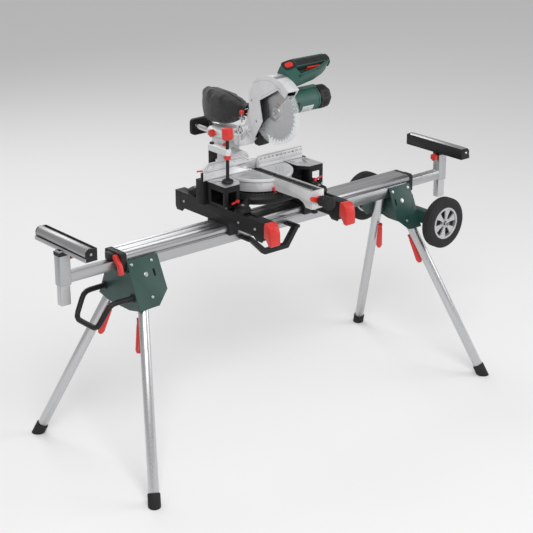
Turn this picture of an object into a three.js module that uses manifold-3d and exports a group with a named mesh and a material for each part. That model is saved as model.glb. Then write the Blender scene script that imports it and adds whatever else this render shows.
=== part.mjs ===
// Sliding mitre saw bolted to the two crossbars of a folding leg stand with wheels.
// Millimetres, +Z up. The origin is on the floor under the middle of the beam, +X runs along the
// beam towards the wheels, and the operator stands on the -Y side.
import * as THREE from 'three';
import { mergeVertices } from 'three/addons/utils/BufferGeometryUtils.js';
import Module from 'manifold-3d';

const wasm = await Module();
wasm.setup();

// ---------------------------------------------------------------- driving dimensions
const GAP = 0.3; // clearance between pieces that touch
const beam = { half: 705, nose: 53, side: 48, top: 820, deck: 790, bottom: 748 };
const tube = { half: 17.5, low: 753, high: 788, inner: 185, outer: 916, wall: 2.5 };
const leg = { footX: 849, footY: 376, slopeX: 0.28, slopeY: 0.445, pivotZ: 722, radius: 19 };
const foot = { radius: 23, height: 62, cup: 46, wall: 3.4 };
const housing = { sheet: 3, width: 132, drop: 122, rise: 63, corner: 70 };
const post = { x: 938.5, halfX: 22.5, halfY: 17.5, low: 745, high: 870.7, foot: 672 };
const roller = { radius: 21, z: 897, x: 924, half: 151 };
const cradle = { half: 157, base: 873, inner: 899, top: 915, lip: 947 };
const crossbar = { width: 45, half: 261, low: 820.4, high: 884, left: -229, right: 141, hook: 793 };
const wheel = { x: 725, z: 660, radius: 104, width: 46, face: 251, hub: 63, axle: 8 };
const saw = { x: -44, y: 23, table: 97 };
const table = { radius: 138, height: 50, armHalf: 28.5, armEnd: 345, armDepth: 46 };
const wing = { inner: 141, outer: 240, depth: 108, height: 85 };
const bevel = { z: 12, rear: 139, radius: 44 };
const rails = { x: 35, z: 105, radius: 9.5, front: 75, rear: 318 };
const head = { pivotY: 38, pivotZ: 152, bladeY: -110, bladeZ: 240, guard: 140, half: 26 };
const blade = { radius: 108, thickness: 2.4, flange: 24 };
const handle = { y: -106, z: 399, tilt: 30, low: -26, high: 17 };
const motorRise = 26;
const clamp = { x: -192, columnY: 28, screwY: -63 };

// ---------------------------------------------------------------- materials
const finish = (color, roughness, metalness) =>
  new THREE.MeshStandardMaterial({ color, roughness, metalness });
const aluminium = finish(0xb8babc, 0.35, 0.9);
const casting = finish(0xd2d3d4, 0.45, 0.5);
const steel = finish(0xc4c6c8, 0.28, 1);
const green = finish(0x214038, 0.5, 0.1);
const black = finish(0x1c1d1e, 0.6, 0.1);
const rubber = finish(0x141414, 0.9, 0);
const red = finish(0xd8352f, 0.45, 0);
const clear = finish(0xe6eaec, 0.1, 0);
const fabric = finish(0x232427, 0.95, 0);

// ---------------------------------------------------------------- solids
const X = new THREE.Vector3(1, 0, 0);
const Z = new THREE.Vector3(0, 0, 1);
const vector = (p) => new THREE.Vector3(...p);

/** A three.js geometry with only shared positions, without the empty triangles at poles. */
function welded(geometry) {
  const plain = geometry.clone();
  plain.deleteAttribute('normal');
  plain.deleteAttribute('uv');
  const merged = mergeVertices(plain, 1e-4);
  const old = merged.index.array;
  const kept = [];
  for (let i = 0; i < old.length; i += 3) {
    const [a, b, c] = [old[i], old[i + 1], old[i + 2]];
    if (a !== b && b !== c && c !== a) kept.push(a, b, c);
  }
  merged.setIndex(kept);
  return merged;
}

function toSolid(geometry) {
  const g = welded(geometry);
  return new wasm.Manifold(
    new wasm.Mesh({
      numProp: 3,
      vertProperties: Float32Array.from(g.attributes.position.array),
      triVerts: Uint32Array.from(g.index.array),
    }),
  );
}

function toGeometry(solid) {
  const mesh = solid.getMesh();
  const g = new THREE.BufferGeometry();
  g.setAttribute('position', new THREE.BufferAttribute(mesh.vertProperties, 3));
  g.setIndex(new THREE.BufferAttribute(mesh.triVerts, 1));
  return g;
}

const combine = (how, first, rest) =>
  toGeometry(rest.reduce((sum, g) => sum[how](toSolid(g)), toSolid(first)));
const join = (first, ...rest) => combine('add', first, rest);
const cut = (first, ...rest) => combine('subtract', first, rest);
const common = (first, ...rest) => combine('intersect', first, rest);

/** A copy mirrored across the plane through the origin square to the axis 0, 1 or 2. */
function mirrored(geometry, axis) {
  const scale = [1, 1, 1];
  scale[axis] = -1;
  const g = welded(geometry);
  g.scale(...scale);
  const index = g.index.array;
  for (let i = 0; i < index.length; i += 3) {
    [index[i], index[i + 1]] = [index[i + 1], index[i]];
  }
  return g;
}

function block([x0, x1], [y0, y1], [z0, z1]) {
  const g = new THREE.BoxGeometry(x1 - x0, y1 - y0, z1 - z0);
  return g.translate((x0 + x1) / 2, (y0 + y1) / 2, (z0 + z1) / 2);
}

/** A shape standing on the XY plane turned so that its Z axis points along a direction. */
function aimed(geometry, start, direction) {
  const turn = new THREE.Quaternion().setFromUnitVectors(Z, direction.clone().normalize());
  return geometry.applyQuaternion(turn).translate(start.x, start.y, start.z);
}

function rod(from, to, radius, sides = 20, endRadius = radius) {
  const [a, b] = [vector(from), vector(to)];
  const along = b.clone().sub(a);
  const g = new THREE.CylinderGeometry(endRadius, radius, along.length(), sides);
  g.rotateX(Math.PI / 2).translate(0, 0, along.length() / 2);
  return aimed(g, a, along);
}

/** A turned piece: [radius, height] points from one end to the other, axis from a point. */
function turned(profile, start, direction, sides = 24) {
  const g = new THREE.LatheGeometry(profile.map(([r, h]) => new THREE.Vector2(r, h)), sides);
  return aimed(g.rotateX(Math.PI / 2), vector(start), vector(direction));
}

/** An outline extruded along x, y or z; its points are (y, z), (x, z) or (x, y). */
function slab(axis, outline, low, high, holes = []) {
  const points = (list) => list.map(([u, v]) => new THREE.Vector2(u, v));
  const shape = new THREE.Shape(points(outline));
  shape.holes = holes.map((hole) => new THREE.Path(points(hole)));
  const g = new THREE.ExtrudeGeometry(shape, { depth: high - low, bevelEnabled: false });
  const basis = new THREE.Matrix4();
  if (axis === 'x') basis.set(0, 0, 1, low, 1, 0, 0, 0, 0, 1, 0, 0, 0, 0, 0, 1);
  if (axis === 'y') basis.set(1, 0, 0, 0, 0, 0, -1, high, 0, 1, 0, 0, 0, 0, 0, 1);
  if (axis === 'z') basis.makeTranslation(0, 0, low);
  return g.applyMatrix4(basis);
}

/** Points on an arc, angles in degrees, both ends included. */
function arc([u, v], radius, from, to, steps) {
  return Array.from({ length: steps + 1 }, (_, i) => {
    const a = THREE.MathUtils.degToRad(from + ((to - from) * i) / steps);
    return [u + radius * Math.cos(a), v + radius * Math.sin(a)];
  });
}

/** A rectangle with rounded corners, given by its centre and half sizes. */
function rounded([u, v], [hu, hv], radius, steps = 3) {
  const corner = (su, sv, from) =>
    arc([u + su * (hu - radius), v + sv * (hv - radius)], radius, from, from + 90, steps);
  return [...corner(1, 1, 0), ...corner(-1, 1, 90), ...corner(-1, -1, 180), ...corner(1, -1, 270)];
}

/** A round bar bent along straight runs, with each corner rounded. */
function bentBar(points, radius, bend, sides = 12, steps = 28) {
  const corners = points.map(vector);
  const path = new THREE.CurvePath();
  let last = corners[0];
  for (let i = 1; i < corners.length - 1; i += 1) {
    const [before, corner, after] = [corners[i - 1], corners[i], corners[i + 1]];
    const inTo = before.clone().sub(corner).setLength(bend).add(corner);
    const outOf = after.clone().sub(corner).setLength(bend).add(corner);
    path.add(new THREE.LineCurve3(last, inTo));
    path.add(new THREE.QuadraticBezierCurve3(inTo, corner, outOf));
    last = outOf;
  }
  path.add(new THREE.LineCurve3(last, corners.at(-1)));
  const section = new THREE.Shape(arc([0, 0], radius, 0, 360 - 360 / sides, sides - 1)
    .map(([u, v]) => new THREE.Vector2(u, v)));
  return new THREE.ExtrudeGeometry(section, { steps, extrudePath: path });
}

// ---------------------------------------------------------------- scene graph
const group = new THREE.Group();
const stand = new THREE.Group();
const machine = new THREE.Group();
machine.position.set(saw.x, saw.y, crossbar.high + saw.table);
group.add(stand, machine);

function piece(parent, name, geometry, material) {
  const mesh = new THREE.Mesh(geometry, material);
  mesh.name = name;
  parent.add(mesh);
  return mesh;
}

// ---------------------------------------------------------------- stand: beam and its ends
/** The extruded beam: a deck with rounded noses over a box with a channel for the arms. */
function mainBeam() {
  const nose = 15;
  const mid = (beam.top + beam.deck) / 2;
  const groove = 4;
  const half = [
    ...arc([beam.nose - nose, mid], nose, -90, 90, 6),
    [22, beam.top], [20, beam.top - 1.5], [16, beam.top - 1.5], [14, beam.top],
  ];
  const lower = [[beam.side, beam.bottom], [beam.side, beam.deck - groove],
    [beam.side - groove, beam.deck - groove], [beam.side - groove, beam.deck]];
  const right = [...lower, ...half];
  const left = right.map(([y, z]) => [-y, z]).reverse();
  const channel = rounded([0, 770.5], [20, 19], 1, 1);
  const chamber = (y0, y1, z0, z1) =>
    rounded([(y0 + y1) / 2, (z0 + z1) / 2], [(y1 - y0) / 2, (z1 - z0) / 2], 2, 1);
  const holes = [channel, chamber(24, 44, 752, 782), chamber(-44, -24, 752, 782),
    chamber(2, 46, 793.5, 816.5), chamber(-46, -2, 793.5, 816.5)];
  return slab('x', [...right, ...left], -beam.half, beam.half, holes);
}

/** The plastic cap that closes a beam end and guides the extension arm; drawn for the +X end. */
function beamEndCap() {
  const plate = slab('x', rounded([0, 783.5], [51, 34.8], 8), beam.half + GAP, beam.half + 22,
    [rounded([0, 770.5], [18.5, 18.5], 1, 1)]);
  const collar = block([beam.half + 20, beam.half + 40], [-13, 26], [791, 813]);
  return join(plate, collar);
}

/** The cam lever on a cap that clamps the extension arm; drawn for the +X end. */
function extensionLever(side) {
  const [low, high] = [beam.half + 23, beam.half + 37];
  const lever = join(
    slab('x', [...arc([-24, 803], 10, -20, 130, 5), [-45, 795], [-60, 778], [-66, 748],
      [-50, 744], [-44, 768], [-33, 784]], low, high),
    rod([beam.half + 22 + GAP, -24, 803], [low + 2, -24, 803], 5, 12),
  );
  return side > 0 ? mirrored(lever, 1) : lever;
}

// ---------------------------------------------------------------- stand: legs
const splay = new THREE.Vector3(leg.slopeX, leg.slopeY, -1).normalize();
const legPivot = new THREE.Vector3(
  leg.footX - leg.slopeX * leg.pivotZ, leg.footY - leg.slopeY * leg.pivotZ, leg.pivotZ);
const floorCut = () => block([-2000, 2000], [-2000, 2000], [-200, 0]);
/** Unit vectors of the leg's fold plane: down the plane, and out of it away from the beam. */
const downPlane = new THREE.Vector3(0, leg.slopeY, -1).normalize();
const outPlane = new THREE.Vector3(0, 1, leg.slopeY).normalize();

/** A point given by its x, its way down the fold plane, and its way out of that plane. */
const planePoint = (x, down, out) =>
  new THREE.Vector3(x, legPivot.y, legPivot.z)
    .addScaledVector(downPlane, down).addScaledVector(outPlane, out);

/** A plate parallel to the fold plane; its outline is (x, way down the plane). */
function planePlate(outline, near, far) {
  const shape = new THREE.Shape(outline.map(([u, v]) => new THREE.Vector2(u, v)));
  const g = new THREE.ExtrudeGeometry(shape, { depth: far - near, bevelEnabled: false });
  const start = planePoint(0, 0, near);
  const basis = new THREE.Matrix4().makeBasis(X, downPlane, outPlane);
  return g.applyMatrix4(basis).translate(start.x, start.y, start.z);
}

/** A point given by its way down the leg and its way out of the fold plane. */
const alongLeg = (down, out) =>
  legPivot.clone().addScaledVector(splay, down).addScaledVector(outPlane, out).toArray();

/** The leg tube at the +X +Y corner, with the boss that carries its lock lever. */
function legTube() {
  const top = legPivot.clone().addScaledVector(splay, -12);
  const end = new THREE.Vector3(leg.footX, leg.footY, 0).addScaledVector(splay, -foot.height + foot.cup);
  const boss = (out) => alongLeg(156, out);
  const floorOfBore = end.clone().addScaledVector(splay, -12);
  const bore = rod(alongLeg(-30, 0), floorOfBore.toArray(), leg.radius - 2);
  const shell = cut(rod(top.toArray(), end.toArray(), leg.radius), bore);
  return join(shell, rod(boss(-18), boss(-21.7), 7, 12));
}

/** The rubber cup on a leg, cut flat where it stands on the floor. */
function legFoot() {
  const start = new THREE.Vector3(leg.footX, leg.footY, 0).addScaledVector(splay, 26);
  const bore = leg.radius + GAP;
  const base = foot.height - foot.cup + 26 - GAP;
  const cup = turned([[0, 0], [foot.radius, 0], [foot.radius, 70], [foot.radius - 2, 74],
    [bore, 74], [bore, base], [0, base]], start.toArray(), splay.clone().negate().toArray(), 20);
  return cut(cup, floorCut());
}

/** The red lever beside a leg that lets it fold. */
function legLockLever() {
  const root = rod(alongLeg(148, -31), alongLeg(176, -31), 9, 12);
  const grip = rod(alongLeg(170, -32), alongLeg(262, -44), 10, 12, 13);
  const tip = rod(alongLeg(262, -44), alongLeg(274, -45.5), 13, 12, 8);
  return join(root, grip, tip);
}

/** The folded sheet that holds two legs; drawn for the -X end and mirrored for the other. */
function legHousing(width) {
  const face = leg.radius + 2.5;
  const x0 = -beam.half;
  const under = beam.bottom - 4;
  const seam = (under - planePoint(0, 0, face).z) / downPlane.z;
  const outline = [[x0, -housing.rise], [x0 + width, -housing.rise],
    [x0 + width + 3, housing.corner], [x0 + width - 48, housing.drop - 2],
    [x0 - housing.sheet, housing.drop], [x0 - housing.sheet, seam], [x0, seam]];
  const rear = planePlate(outline, face, face + housing.sheet);
  const front = mirrored(rear, 1);
  const low = planePoint(0, housing.drop, face + housing.sheet);
  const aboveY = planePoint(0, 0, face + housing.sheet).y
    + (legPivot.z + outPlane.z * (face + housing.sheet) - under) * leg.slopeY;
  const end = slab('x', [[-aboveY, under], [-low.y, low.z], [-62, low.z - 14], [62, low.z - 14],
    [low.y, low.z], [aboveY, under]], x0 - housing.sheet, x0);
  const tie = block([x0 - housing.sheet, x0 + width * 0.6], [-beam.side - 2, beam.side + 2],
    [beam.bottom - 4, beam.bottom - GAP]);
  return join(front, rear, end, tie);
}

// ---------------------------------------------------------------- stand: handles and wheels
/** The bent carrying handle at the -X end. */
function carryHandle() {
  const x0 = -beam.half - housing.sheet - GAP;
  const bar = bentBar([[x0 - 1, 86, 660], [-802, 82, 660], [-852, 66, 574], [-852, -66, 574],
    [-802, -82, 660], [x0 - 1, -86, 660]], 10, 24, 12, 30);
  const flange = (y) => slab('x', rounded([y, 660], [13, 13], 5, 2), x0 - 4, x0);
  return join(bar, flange(86), flange(-86));
}

/** The loop under the front of the beam for carrying the folded stand level. */
function centreHandle() {
  const y = -beam.side - GAP;
  const strap = slab('y', [[-196, 768], [-118, 690], [0, 690], [58, 768], [34, 768], [-12, 708],
    [-106, 708], [-172, 768]], -112, -90);
  const ears = [-184, 46].map((x) => block([x - 12, x + 12], [-112, y], [758, 770]));
  return join(strap, ...ears);
}

/** The channel behind the +X housing with the fixed wheel axle. */
function axleBracket() {
  const x0 = beam.half + housing.sheet + GAP;
  const half = wheel.face - wheel.width - 6;
  const channel = slab('y', [[x0, 634], [x0 + 33, 634], [x0 + 33, 638], [x0 + 4, 638],
    [x0 + 4, 682], [x0 + 33, 682], [x0 + 33, 686], [x0, 686]], -half, half);
  const ends = [-1, 1].map((s) => block([x0, x0 + 33], [s * half - 3, s * half + 3], [634, 686]));
  const axle = rod([wheel.x, -wheel.face - 4, wheel.z], [wheel.x, wheel.face + 4, wheel.z], wheel.axle);
  return join(channel, ...ends, axle);
}

/** A tyred wheel with a hollow hub, its axis along y and its outer face at y = 0. */
function wheelBody() {
  const w = wheel.width;
  const profile = [[wheel.axle + GAP, 4], [18, 4], [20, 10], [56, 10], [wheel.hub, 6], [74, 3],
    [94, 3], [wheel.radius, 12], [wheel.radius, w - 12], [94, w - 3], [74, w - 3], [56, w - 10],
    [20, w - 10], [18, w - 4], [wheel.axle + GAP, w - 4], [wheel.axle + GAP, 4]];
  return turned(profile, [0, 0, 0], [0, 1, 0], 24);
}

// ---------------------------------------------------------------- stand: extensions, +X end
function extensionArm() {
  const bar = cut(
    block([tube.inner, tube.outer + 1], [-tube.half, tube.half], [tube.low, tube.high]),
    block([tube.inner - 10, tube.outer - 4],
      [-tube.half + tube.wall, tube.half - tube.wall], [tube.low + tube.wall, tube.high - tube.wall]),
  );
  const sleeve = slab('z', rounded([post.x, 0], [post.halfX, post.halfY], 2, 1), post.low, post.high,
    [rounded([post.x, 0], [19.5, 14.5], 1, 1)]);
  return join(bar, sleeve);
}

/** The post and the trough that carries the roller. */
function rollerSupport() {
  const stem = slab('z', rounded([post.x, 0], [19, 14], 1.5, 1), post.foot, cradle.base + 2,
    [rounded([post.x, 0], [16.5, 11.5], 1, 1)]);
  const trough = slab('y', [[cradle.inner - 1, cradle.base - 2], [cradle.lip, cradle.base - 2],
    [cradle.lip, cradle.base + 12], [cradle.lip - 2.5, cradle.base + 12],
    [cradle.lip - 2.5, cradle.base + 1], [cradle.inner + 2, cradle.base + 1],
    [cradle.inner + 2, cradle.top], [cradle.inner - 1, cradle.top]], -cradle.half, cradle.half);
  const cheek = (y0, y1) => slab('y', [[cradle.inner - 1, cradle.base - 2],
    [cradle.inner + 44, cradle.base - 2], ...arc([roller.x, roller.z], 20, -20, 110, 5),
    [cradle.inner - 1, cradle.top]], y0, y1);
  return join(trough, cheek(-cradle.half, -cradle.half + 3), cheek(cradle.half - 3, cradle.half), stem);
}

function supportRoller() {
  const r = roller.radius;
  const [end, pin] = [roller.half, cradle.half - 3 - GAP];
  const solid = turned([[0, -pin], [5, -pin], [5, -end], [r, -end], [r, end], [5, end], [5, pin],
    [0, pin]], [roller.x, 0, roller.z], [0, 1, 0], 28);
  const hollow = turned([[5, -end + 8], [r - 2, -end + 8], [r - 2, end - 8], [5, end - 8],
    [5, -end + 8]], [roller.x, 0, roller.z], [0, 1, 0], 20);
  const vent = rod([roller.x, end - 20, roller.z + 12], [roller.x, end + 5, roller.z + 12], 3, 8);
  return cut(solid, hollow, vent);
}

/** A six-lobed clamping knob, from its seat along a direction. */
function lobedKnob(start, direction, radius, depth, shank = 5) {
  const lobes = Array.from({ length: 24 }, (_, i) => {
    const r = radius * (1 - 0.09 * (1 - Math.cos((i * Math.PI) / 2)));
    const a = (i * Math.PI) / 12;
    return [r * Math.cos(a), r * Math.sin(a)];
  });
  const knob = join(slab('z', lobes, 6, 6 + depth), rod([0, 0, 0], [0, 0, 8], shank, 12));
  return aimed(knob, vector(start), vector(direction));
}

// ---------------------------------------------------------------- stand: crossbars
/** A crossbar that clamps on the beam, centred on x = 0, open below, with two slots on top. */
function crossbarBody() {
  const w = crossbar.width / 2;
  const { half, low, high, hook } = crossbar;
  const side = [[-half, low], [-half + 8, low - 14], [-half + 40, low - 14], [-half + 56, low],
    [half - 56, low], [half - 40, low - 14], [half - 8, low - 14], [half, low],
    [half, high], [-half, high]];
  const solid = slab('x', side, -w, w);
  const hollow = block([-w + 3, w - 3], [-half + 4, half - 4], [low - 30, high - 4]);
  const slots = [[-200, -40], [40, 210]].map(([y0, y1]) =>
    slab('z', rounded([6, (y0 + y1) / 2], [5, (y1 - y0) / 2], 4.5, 2), high - 20, high + 5));
  const jaw = (s) => {
    const reach = [[s * (beam.nose + 1.5), low + 30], [s * (beam.nose + 1.5), hook + 7],
      [s * (beam.side + 1.5), hook - 4], [s * (beam.side + 1.5), hook - 10],
      [s * (beam.nose + 13), hook - 10], [s * (beam.nose + 13), low + 30]];
    return slab('x', reach, -w + 2, w - 2);
  };
  const web = block([-w + 2, w - 2], [-44, 44], [low, low + 4]);
  return join(cut(solid, hollow, ...slots), web, jaw(1), jaw(-1));
}

/** The curved cam lever over the front end of a crossbar, centred on x = 0. */
function crossbarLever() {
  const y = -crossbar.half - GAP;
  const outline = [[y, 826], [y, 872], [y - 4, 884], [y - 20, 884], [y - 34, 872], [y - 42, 846],
    [y - 43, 806], [y - 38, 800], [y - 24, 803], [y - 20, 812], [y - 12, 822]];
  return slab('x', outline.reverse(), -22, 22);
}

// ---------------------------------------------------------------- saw: base and tables
/** The foot casting: a ring under the turntable, side trays, rear wings and four feet. */
function sawBase() {
  const floor = -saw.table + GAP;
  const ring = turned([[0, floor + 5], [158, floor + 5], [164, floor + 12], [164, floor + 26],
    [150, -table.height - 4], [132, -table.height - 4], [132, floor + 16], [20, floor + 16],
    [20, -table.height - GAP], [0, -table.height - GAP]], [0, 0, 0], [0, 0, 1], 40);
  const tray = (s) => slab('z', mirrorIf(s, [[100, -56], [150, -84], [232, -56], [236, 46],
    [100, 46]]), floor + 5, floor + 11);
  const rear = (s) => block(sortPair(s * wing.inner, s * 252), [4, 50], [floor + 5, -1]);
  const rearHollow = (s) => block(sortPair(s * (wing.inner + 5), s * 247), [9, 45], [floor - 9, -7]);
  const link = (s) => block(sortPair(s * 96, s * 150), [10, 50], [floor + 5, floor + 24]);
  const footing = (x, y, dx, dy) => {
    const end = [x + dx, y + dy];
    const pad = turned([[0, 0], [30, 0], [32, 8], [28, 20], [16, 27], [0, 27]],
      [end[0], end[1], floor], [0, 0, 1], 20);
    const bar = rod([x * 0.62, y * 0.62, floor + 20], [end[0], end[1], floor + 13], 15, 10);
    return [pad, bar];
  };
  const feet = [...footing(-150, -108, -38, -36), ...footing(150, -108, 38, -36),
    ...footing(-146, 96, -36, 46), ...footing(146, 96, 36, 46)];
  const body = join(ring, tray(1), tray(-1), rear(1), rear(-1), link(1), link(-1), ...feet);
  return cut(body, rearHollow(1), rearHollow(-1), block([-400, 400], [-400, 400], [floor - 60, floor]));
}

const sortPair = (a, b) => [Math.min(a, b), Math.max(a, b)];
const mirrorIf = (s, outline) => (s > 0 ? outline : outline.map(([x, y]) => [-x, y]).reverse());

/** A table extension: a thick top on an open frame; drawn for the +X side. */
function tableExtension() {
  const top = slab('z', [[wing.inner + 2, 0], [wing.inner + 2, -70], [172, -wing.depth],
    [wing.outer, -wing.depth], [wing.outer, 0]], -14, 0);
  const wallFront = block([172, wing.outer], [-wing.depth, -wing.depth + 6], [-wing.height, -2]);
  const wallRear = block([wing.inner + 2, wing.outer], [-8, -2], [-50, -2]);
  const wallSide = block([wing.outer - 6, wing.outer], [-wing.depth, -2], [-wing.height + 4, -2]);
  const wallInner = block([172, 178], [-wing.depth, -60], [-wing.height, -2]);
  const floorPlate = block([172, wing.outer], [-wing.depth, -60], [-wing.height, -wing.height + 6]);
  const window1 = block([186, wing.outer - 14], [-wing.depth - 5, -wing.depth + 20], [-72, -24]);
  const window2 = block([wing.outer - 20, wing.outer + 5], [-wing.depth + 14, -22], [-72, -24]);
  return cut(join(top, wallFront, wallRear, wallSide, wallInner, floorPlate), window1, window2);
}

/** The round table with its arm, blade slot and the pivot lug behind for the bevel. */
function turntable() {
  const drum = turned([[0, -table.height], [table.radius - 6, -table.height],
    [table.radius - 6, -14], [table.radius, -12], [table.radius, -2], [table.radius - 2, 0],
    [0, 0]], [0, 0, 0], [0, 0, 1], 64);
  const arm = block([-table.armHalf, table.armHalf], [-table.armEnd, -100], [-table.armDepth, 0]);
  const tip = slab('x', [[-table.armEnd, -20], [-table.armEnd, -70], [-table.armEnd + 34, -70],
    [-table.armEnd + 48, -54], [-table.armEnd + 80, -table.armDepth + 4], [-table.armEnd + 80, -20]],
    -table.armHalf, table.armHalf);
  const screw = rod([0, -table.armEnd + 18, -90.5], [0, -table.armEnd + 18, -66], 5, 12);
  const pad = rod([0, -table.armEnd + 18, -91], [0, -table.armEnd + 18, -80], 12, 16);
  const lug = rod([0, 92, bevel.z], [0, bevel.rear, bevel.z], bevel.radius - 6, 32);
  const seat = block([-table.armHalf + 11, table.armHalf - 11], [-table.armEnd + 6, 14], [-3.5, 5]);
  const slot = block([-9, 7], [-312, 12], [-24, 5]);
  const lugFloor = block([-60, 60], [80, 160], [-60, -34]);
  const pocket = turned([[26, -table.height - 5], [table.radius - 16, -table.height - 5],
    [table.radius - 16, -14], [26, -14], [26, -table.height - 5]], [0, 0, 0], [0, 0, 1], 40);
  const channel = block([-table.armHalf + 5, table.armHalf - 5], [-table.armEnd + 60, -table.radius - 4],
    [-table.armDepth - 5, -14]);
  return cut(join(drum, arm, tip, screw, pad, cut(lug, lugFloor)), seat, slot, pocket, channel);
}

function kerfInsert() {
  const half = table.armHalf - 11 - GAP;
  return slab('z', [[-half, -table.armEnd + 6 + GAP], [half, -table.armEnd + 6 + GAP],
    [half, 14 - GAP], [-half, 14 - GAP]], -3.2, -0.1, [rounded([-1, -150], [3.5, 156], 3, 2)]);
}

/** The ribbed knob on the end of the arm that locks the mitre angle. */
function mitreKnob() {
  const start = [0, -table.armEnd - GAP, -36];
  return turned([[0, 0], [7, 0], [7, 14], [19, 16], [22, 22], [18, 30], [19, 38], [26, 50],
    [26, 66], [20, 76], [8, 78], [0, 78]], start, [0, -1, 0], 24);
}

/** The red yoke behind the knob that lifts the detent pin. */
function mitreLatch() {
  const hub = [0, -36];
  const outline = [...arc(hub, 17, -60, 130, 6), [-16, -22], [-40, -16], [-46, -22], [-42, -32],
    [-18, -42]];
  return slab('y', outline, -table.armEnd - 12, -table.armEnd - 5,
    [arc(hub, 8.5, 0, -330, 11)]);
}

// ---------------------------------------------------------------- saw: fence and clamp
/** The fixed fence: two walls joined by a bridge behind the blade. */
function fence() {
  const left = slab('y', [[-255, 0.6], [-22, 0.6], [-24, 3], [-108, 34], [-255, 34]], 0, 9);
  const right = slab('y', [[5, 0.6], [230, 0.6], [230, 44], [226, 46], [12, 46], [5, 39]], 0, 9,
    [arc([98, 32], 3, 0, 315, 7), arc([178, 32], 3, 0, 315, 7)]);
  const bridge = slab('z', [[-62, 5], [-62, 42], [62, 42], [62, 5], [46, 5], [46, 26],
    [-46, 26], [-46, 5]].reverse(), 0.6, 20);
  return join(left, right, bridge);
}

/** The sliding half of the left fence. */
function upperFence() {
  const outline = [[-255, 34 + GAP], [-108, 34 + GAP], [-50, 34 + GAP], [-12, 36], [-70, 64],
    [-232, 64], [-255, 42]];
  return slab('y', outline, 0, 9, [arc([-208, 47], 3, 0, 315, 7), arc([-110, 48], 3, 0, 315, 7)]);
}

/** The column behind the fence and the cast arm of the workpiece clamp. */
function clampArm() {
  const column = rod([clamp.x, clamp.columnY, -1 + GAP], [clamp.x, clamp.columnY, 120], 8);
  const outline = [...arc([clamp.x, clamp.columnY], 14, 0, 180, 8),
    ...arc([clamp.x, clamp.screwY], 14, 180, 360, 8)];
  const bar = slab('z', outline, 104, 128, [arc([clamp.x, clamp.screwY], 6.6, 0, -330, 11)]);
  return join(column, bar);
}

/** The clamp's screw with its knob above and its pad on the table. */
function clampSpindle() {
  const at = (z) => [clamp.x, clamp.screwY, z];
  const screw = rod(at(6), at(168), 6, 16);
  const pad = turned([[0, 0], [22, 0], [23, 3], [19, 9], [8, 14], [0, 14]], at(1), [0, 0, 1], 24);
  return join(screw, pad, lobedKnob(at(160), [0, 0, 1], 22, 40, 9));
}

// ---------------------------------------------------------------- saw: tilting bracket and slide
/** The casting that tilts about the bevel axis and carries the two rails in its bores. */
function tiltBracket() {
  const disc = rod([0, bevel.rear + GAP, bevel.z], [0, bevel.rear + 18, bevel.z], bevel.radius, 32);
  const tunnel = slab('y', [...arc([rails.x, rails.z], 22, -90, 90, 8),
    ...arc([-rails.x, rails.z], 22, 90, 270, 8)], 136, 230);
  const neck = slab('y', [[-34, -8], [34, -8], [30, 40], [34, 92], [-54, 92], [-44, 40]],
    bevel.rear + GAP, 205);
  const bore = (x) => rod([x, 100, rails.z], [x, 300, rails.z], rails.radius + 0.6, 20);
  return cut(join(disc, tunnel, neck), bore(rails.x), bore(-rails.x));
}

/** The ribbed lever that clamps the bevel, behind the tilting bracket on its left. */
function bevelLever() {
  const hub = [170, 62];
  const outline = [...arc(hub, 13, -30, 210, 8), [158, 30], [160, 14], [180, 14], [182, 30]];
  const x = -54 - GAP;
  return join(slab('x', outline, x - 20, x - 8), rod([x - 10, hub[0], hub[1]], [x, hub[0], hub[1]], 6, 12));
}

/** The two rails with the bracket that ties their rear ends. */
function slideRails() {
  const rail = (x) => rod([x, rails.front + GAP, rails.z], [x, rails.rear + 8, rails.z], rails.radius, 20);
  const tie = slab('y', rounded([0, 102], [58, 32], 14), rails.rear, rails.rear + 18);
  return join(rail(rails.x), rail(-rails.x), tie);
}

function slideLockKnob() {
  return lobedKnob([-57 - GAP, 180, rails.z + 8], [-1, 0, 0], 15, 16, 5);
}

/** The block on the front of the rails whose ears hold the head's pivot. */
function carriage() {
  const body = slab('y', rounded([0, 108], [50, 24], 10), 46, rails.front);
  const ear = (s) => slab('x', [...arc([head.pivotY, head.pivotZ], 15, 20, 200, 8), [head.pivotY - 2, 118],
    [50, 104], [70, 110]], ...sortPair(s * 29, s * 41));
  const pin = rod([-41, head.pivotY, head.pivotZ], [41, head.pivotY, head.pivotZ], 6, 16);
  return join(body, ear(1), ear(-1), pin);
}

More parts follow.
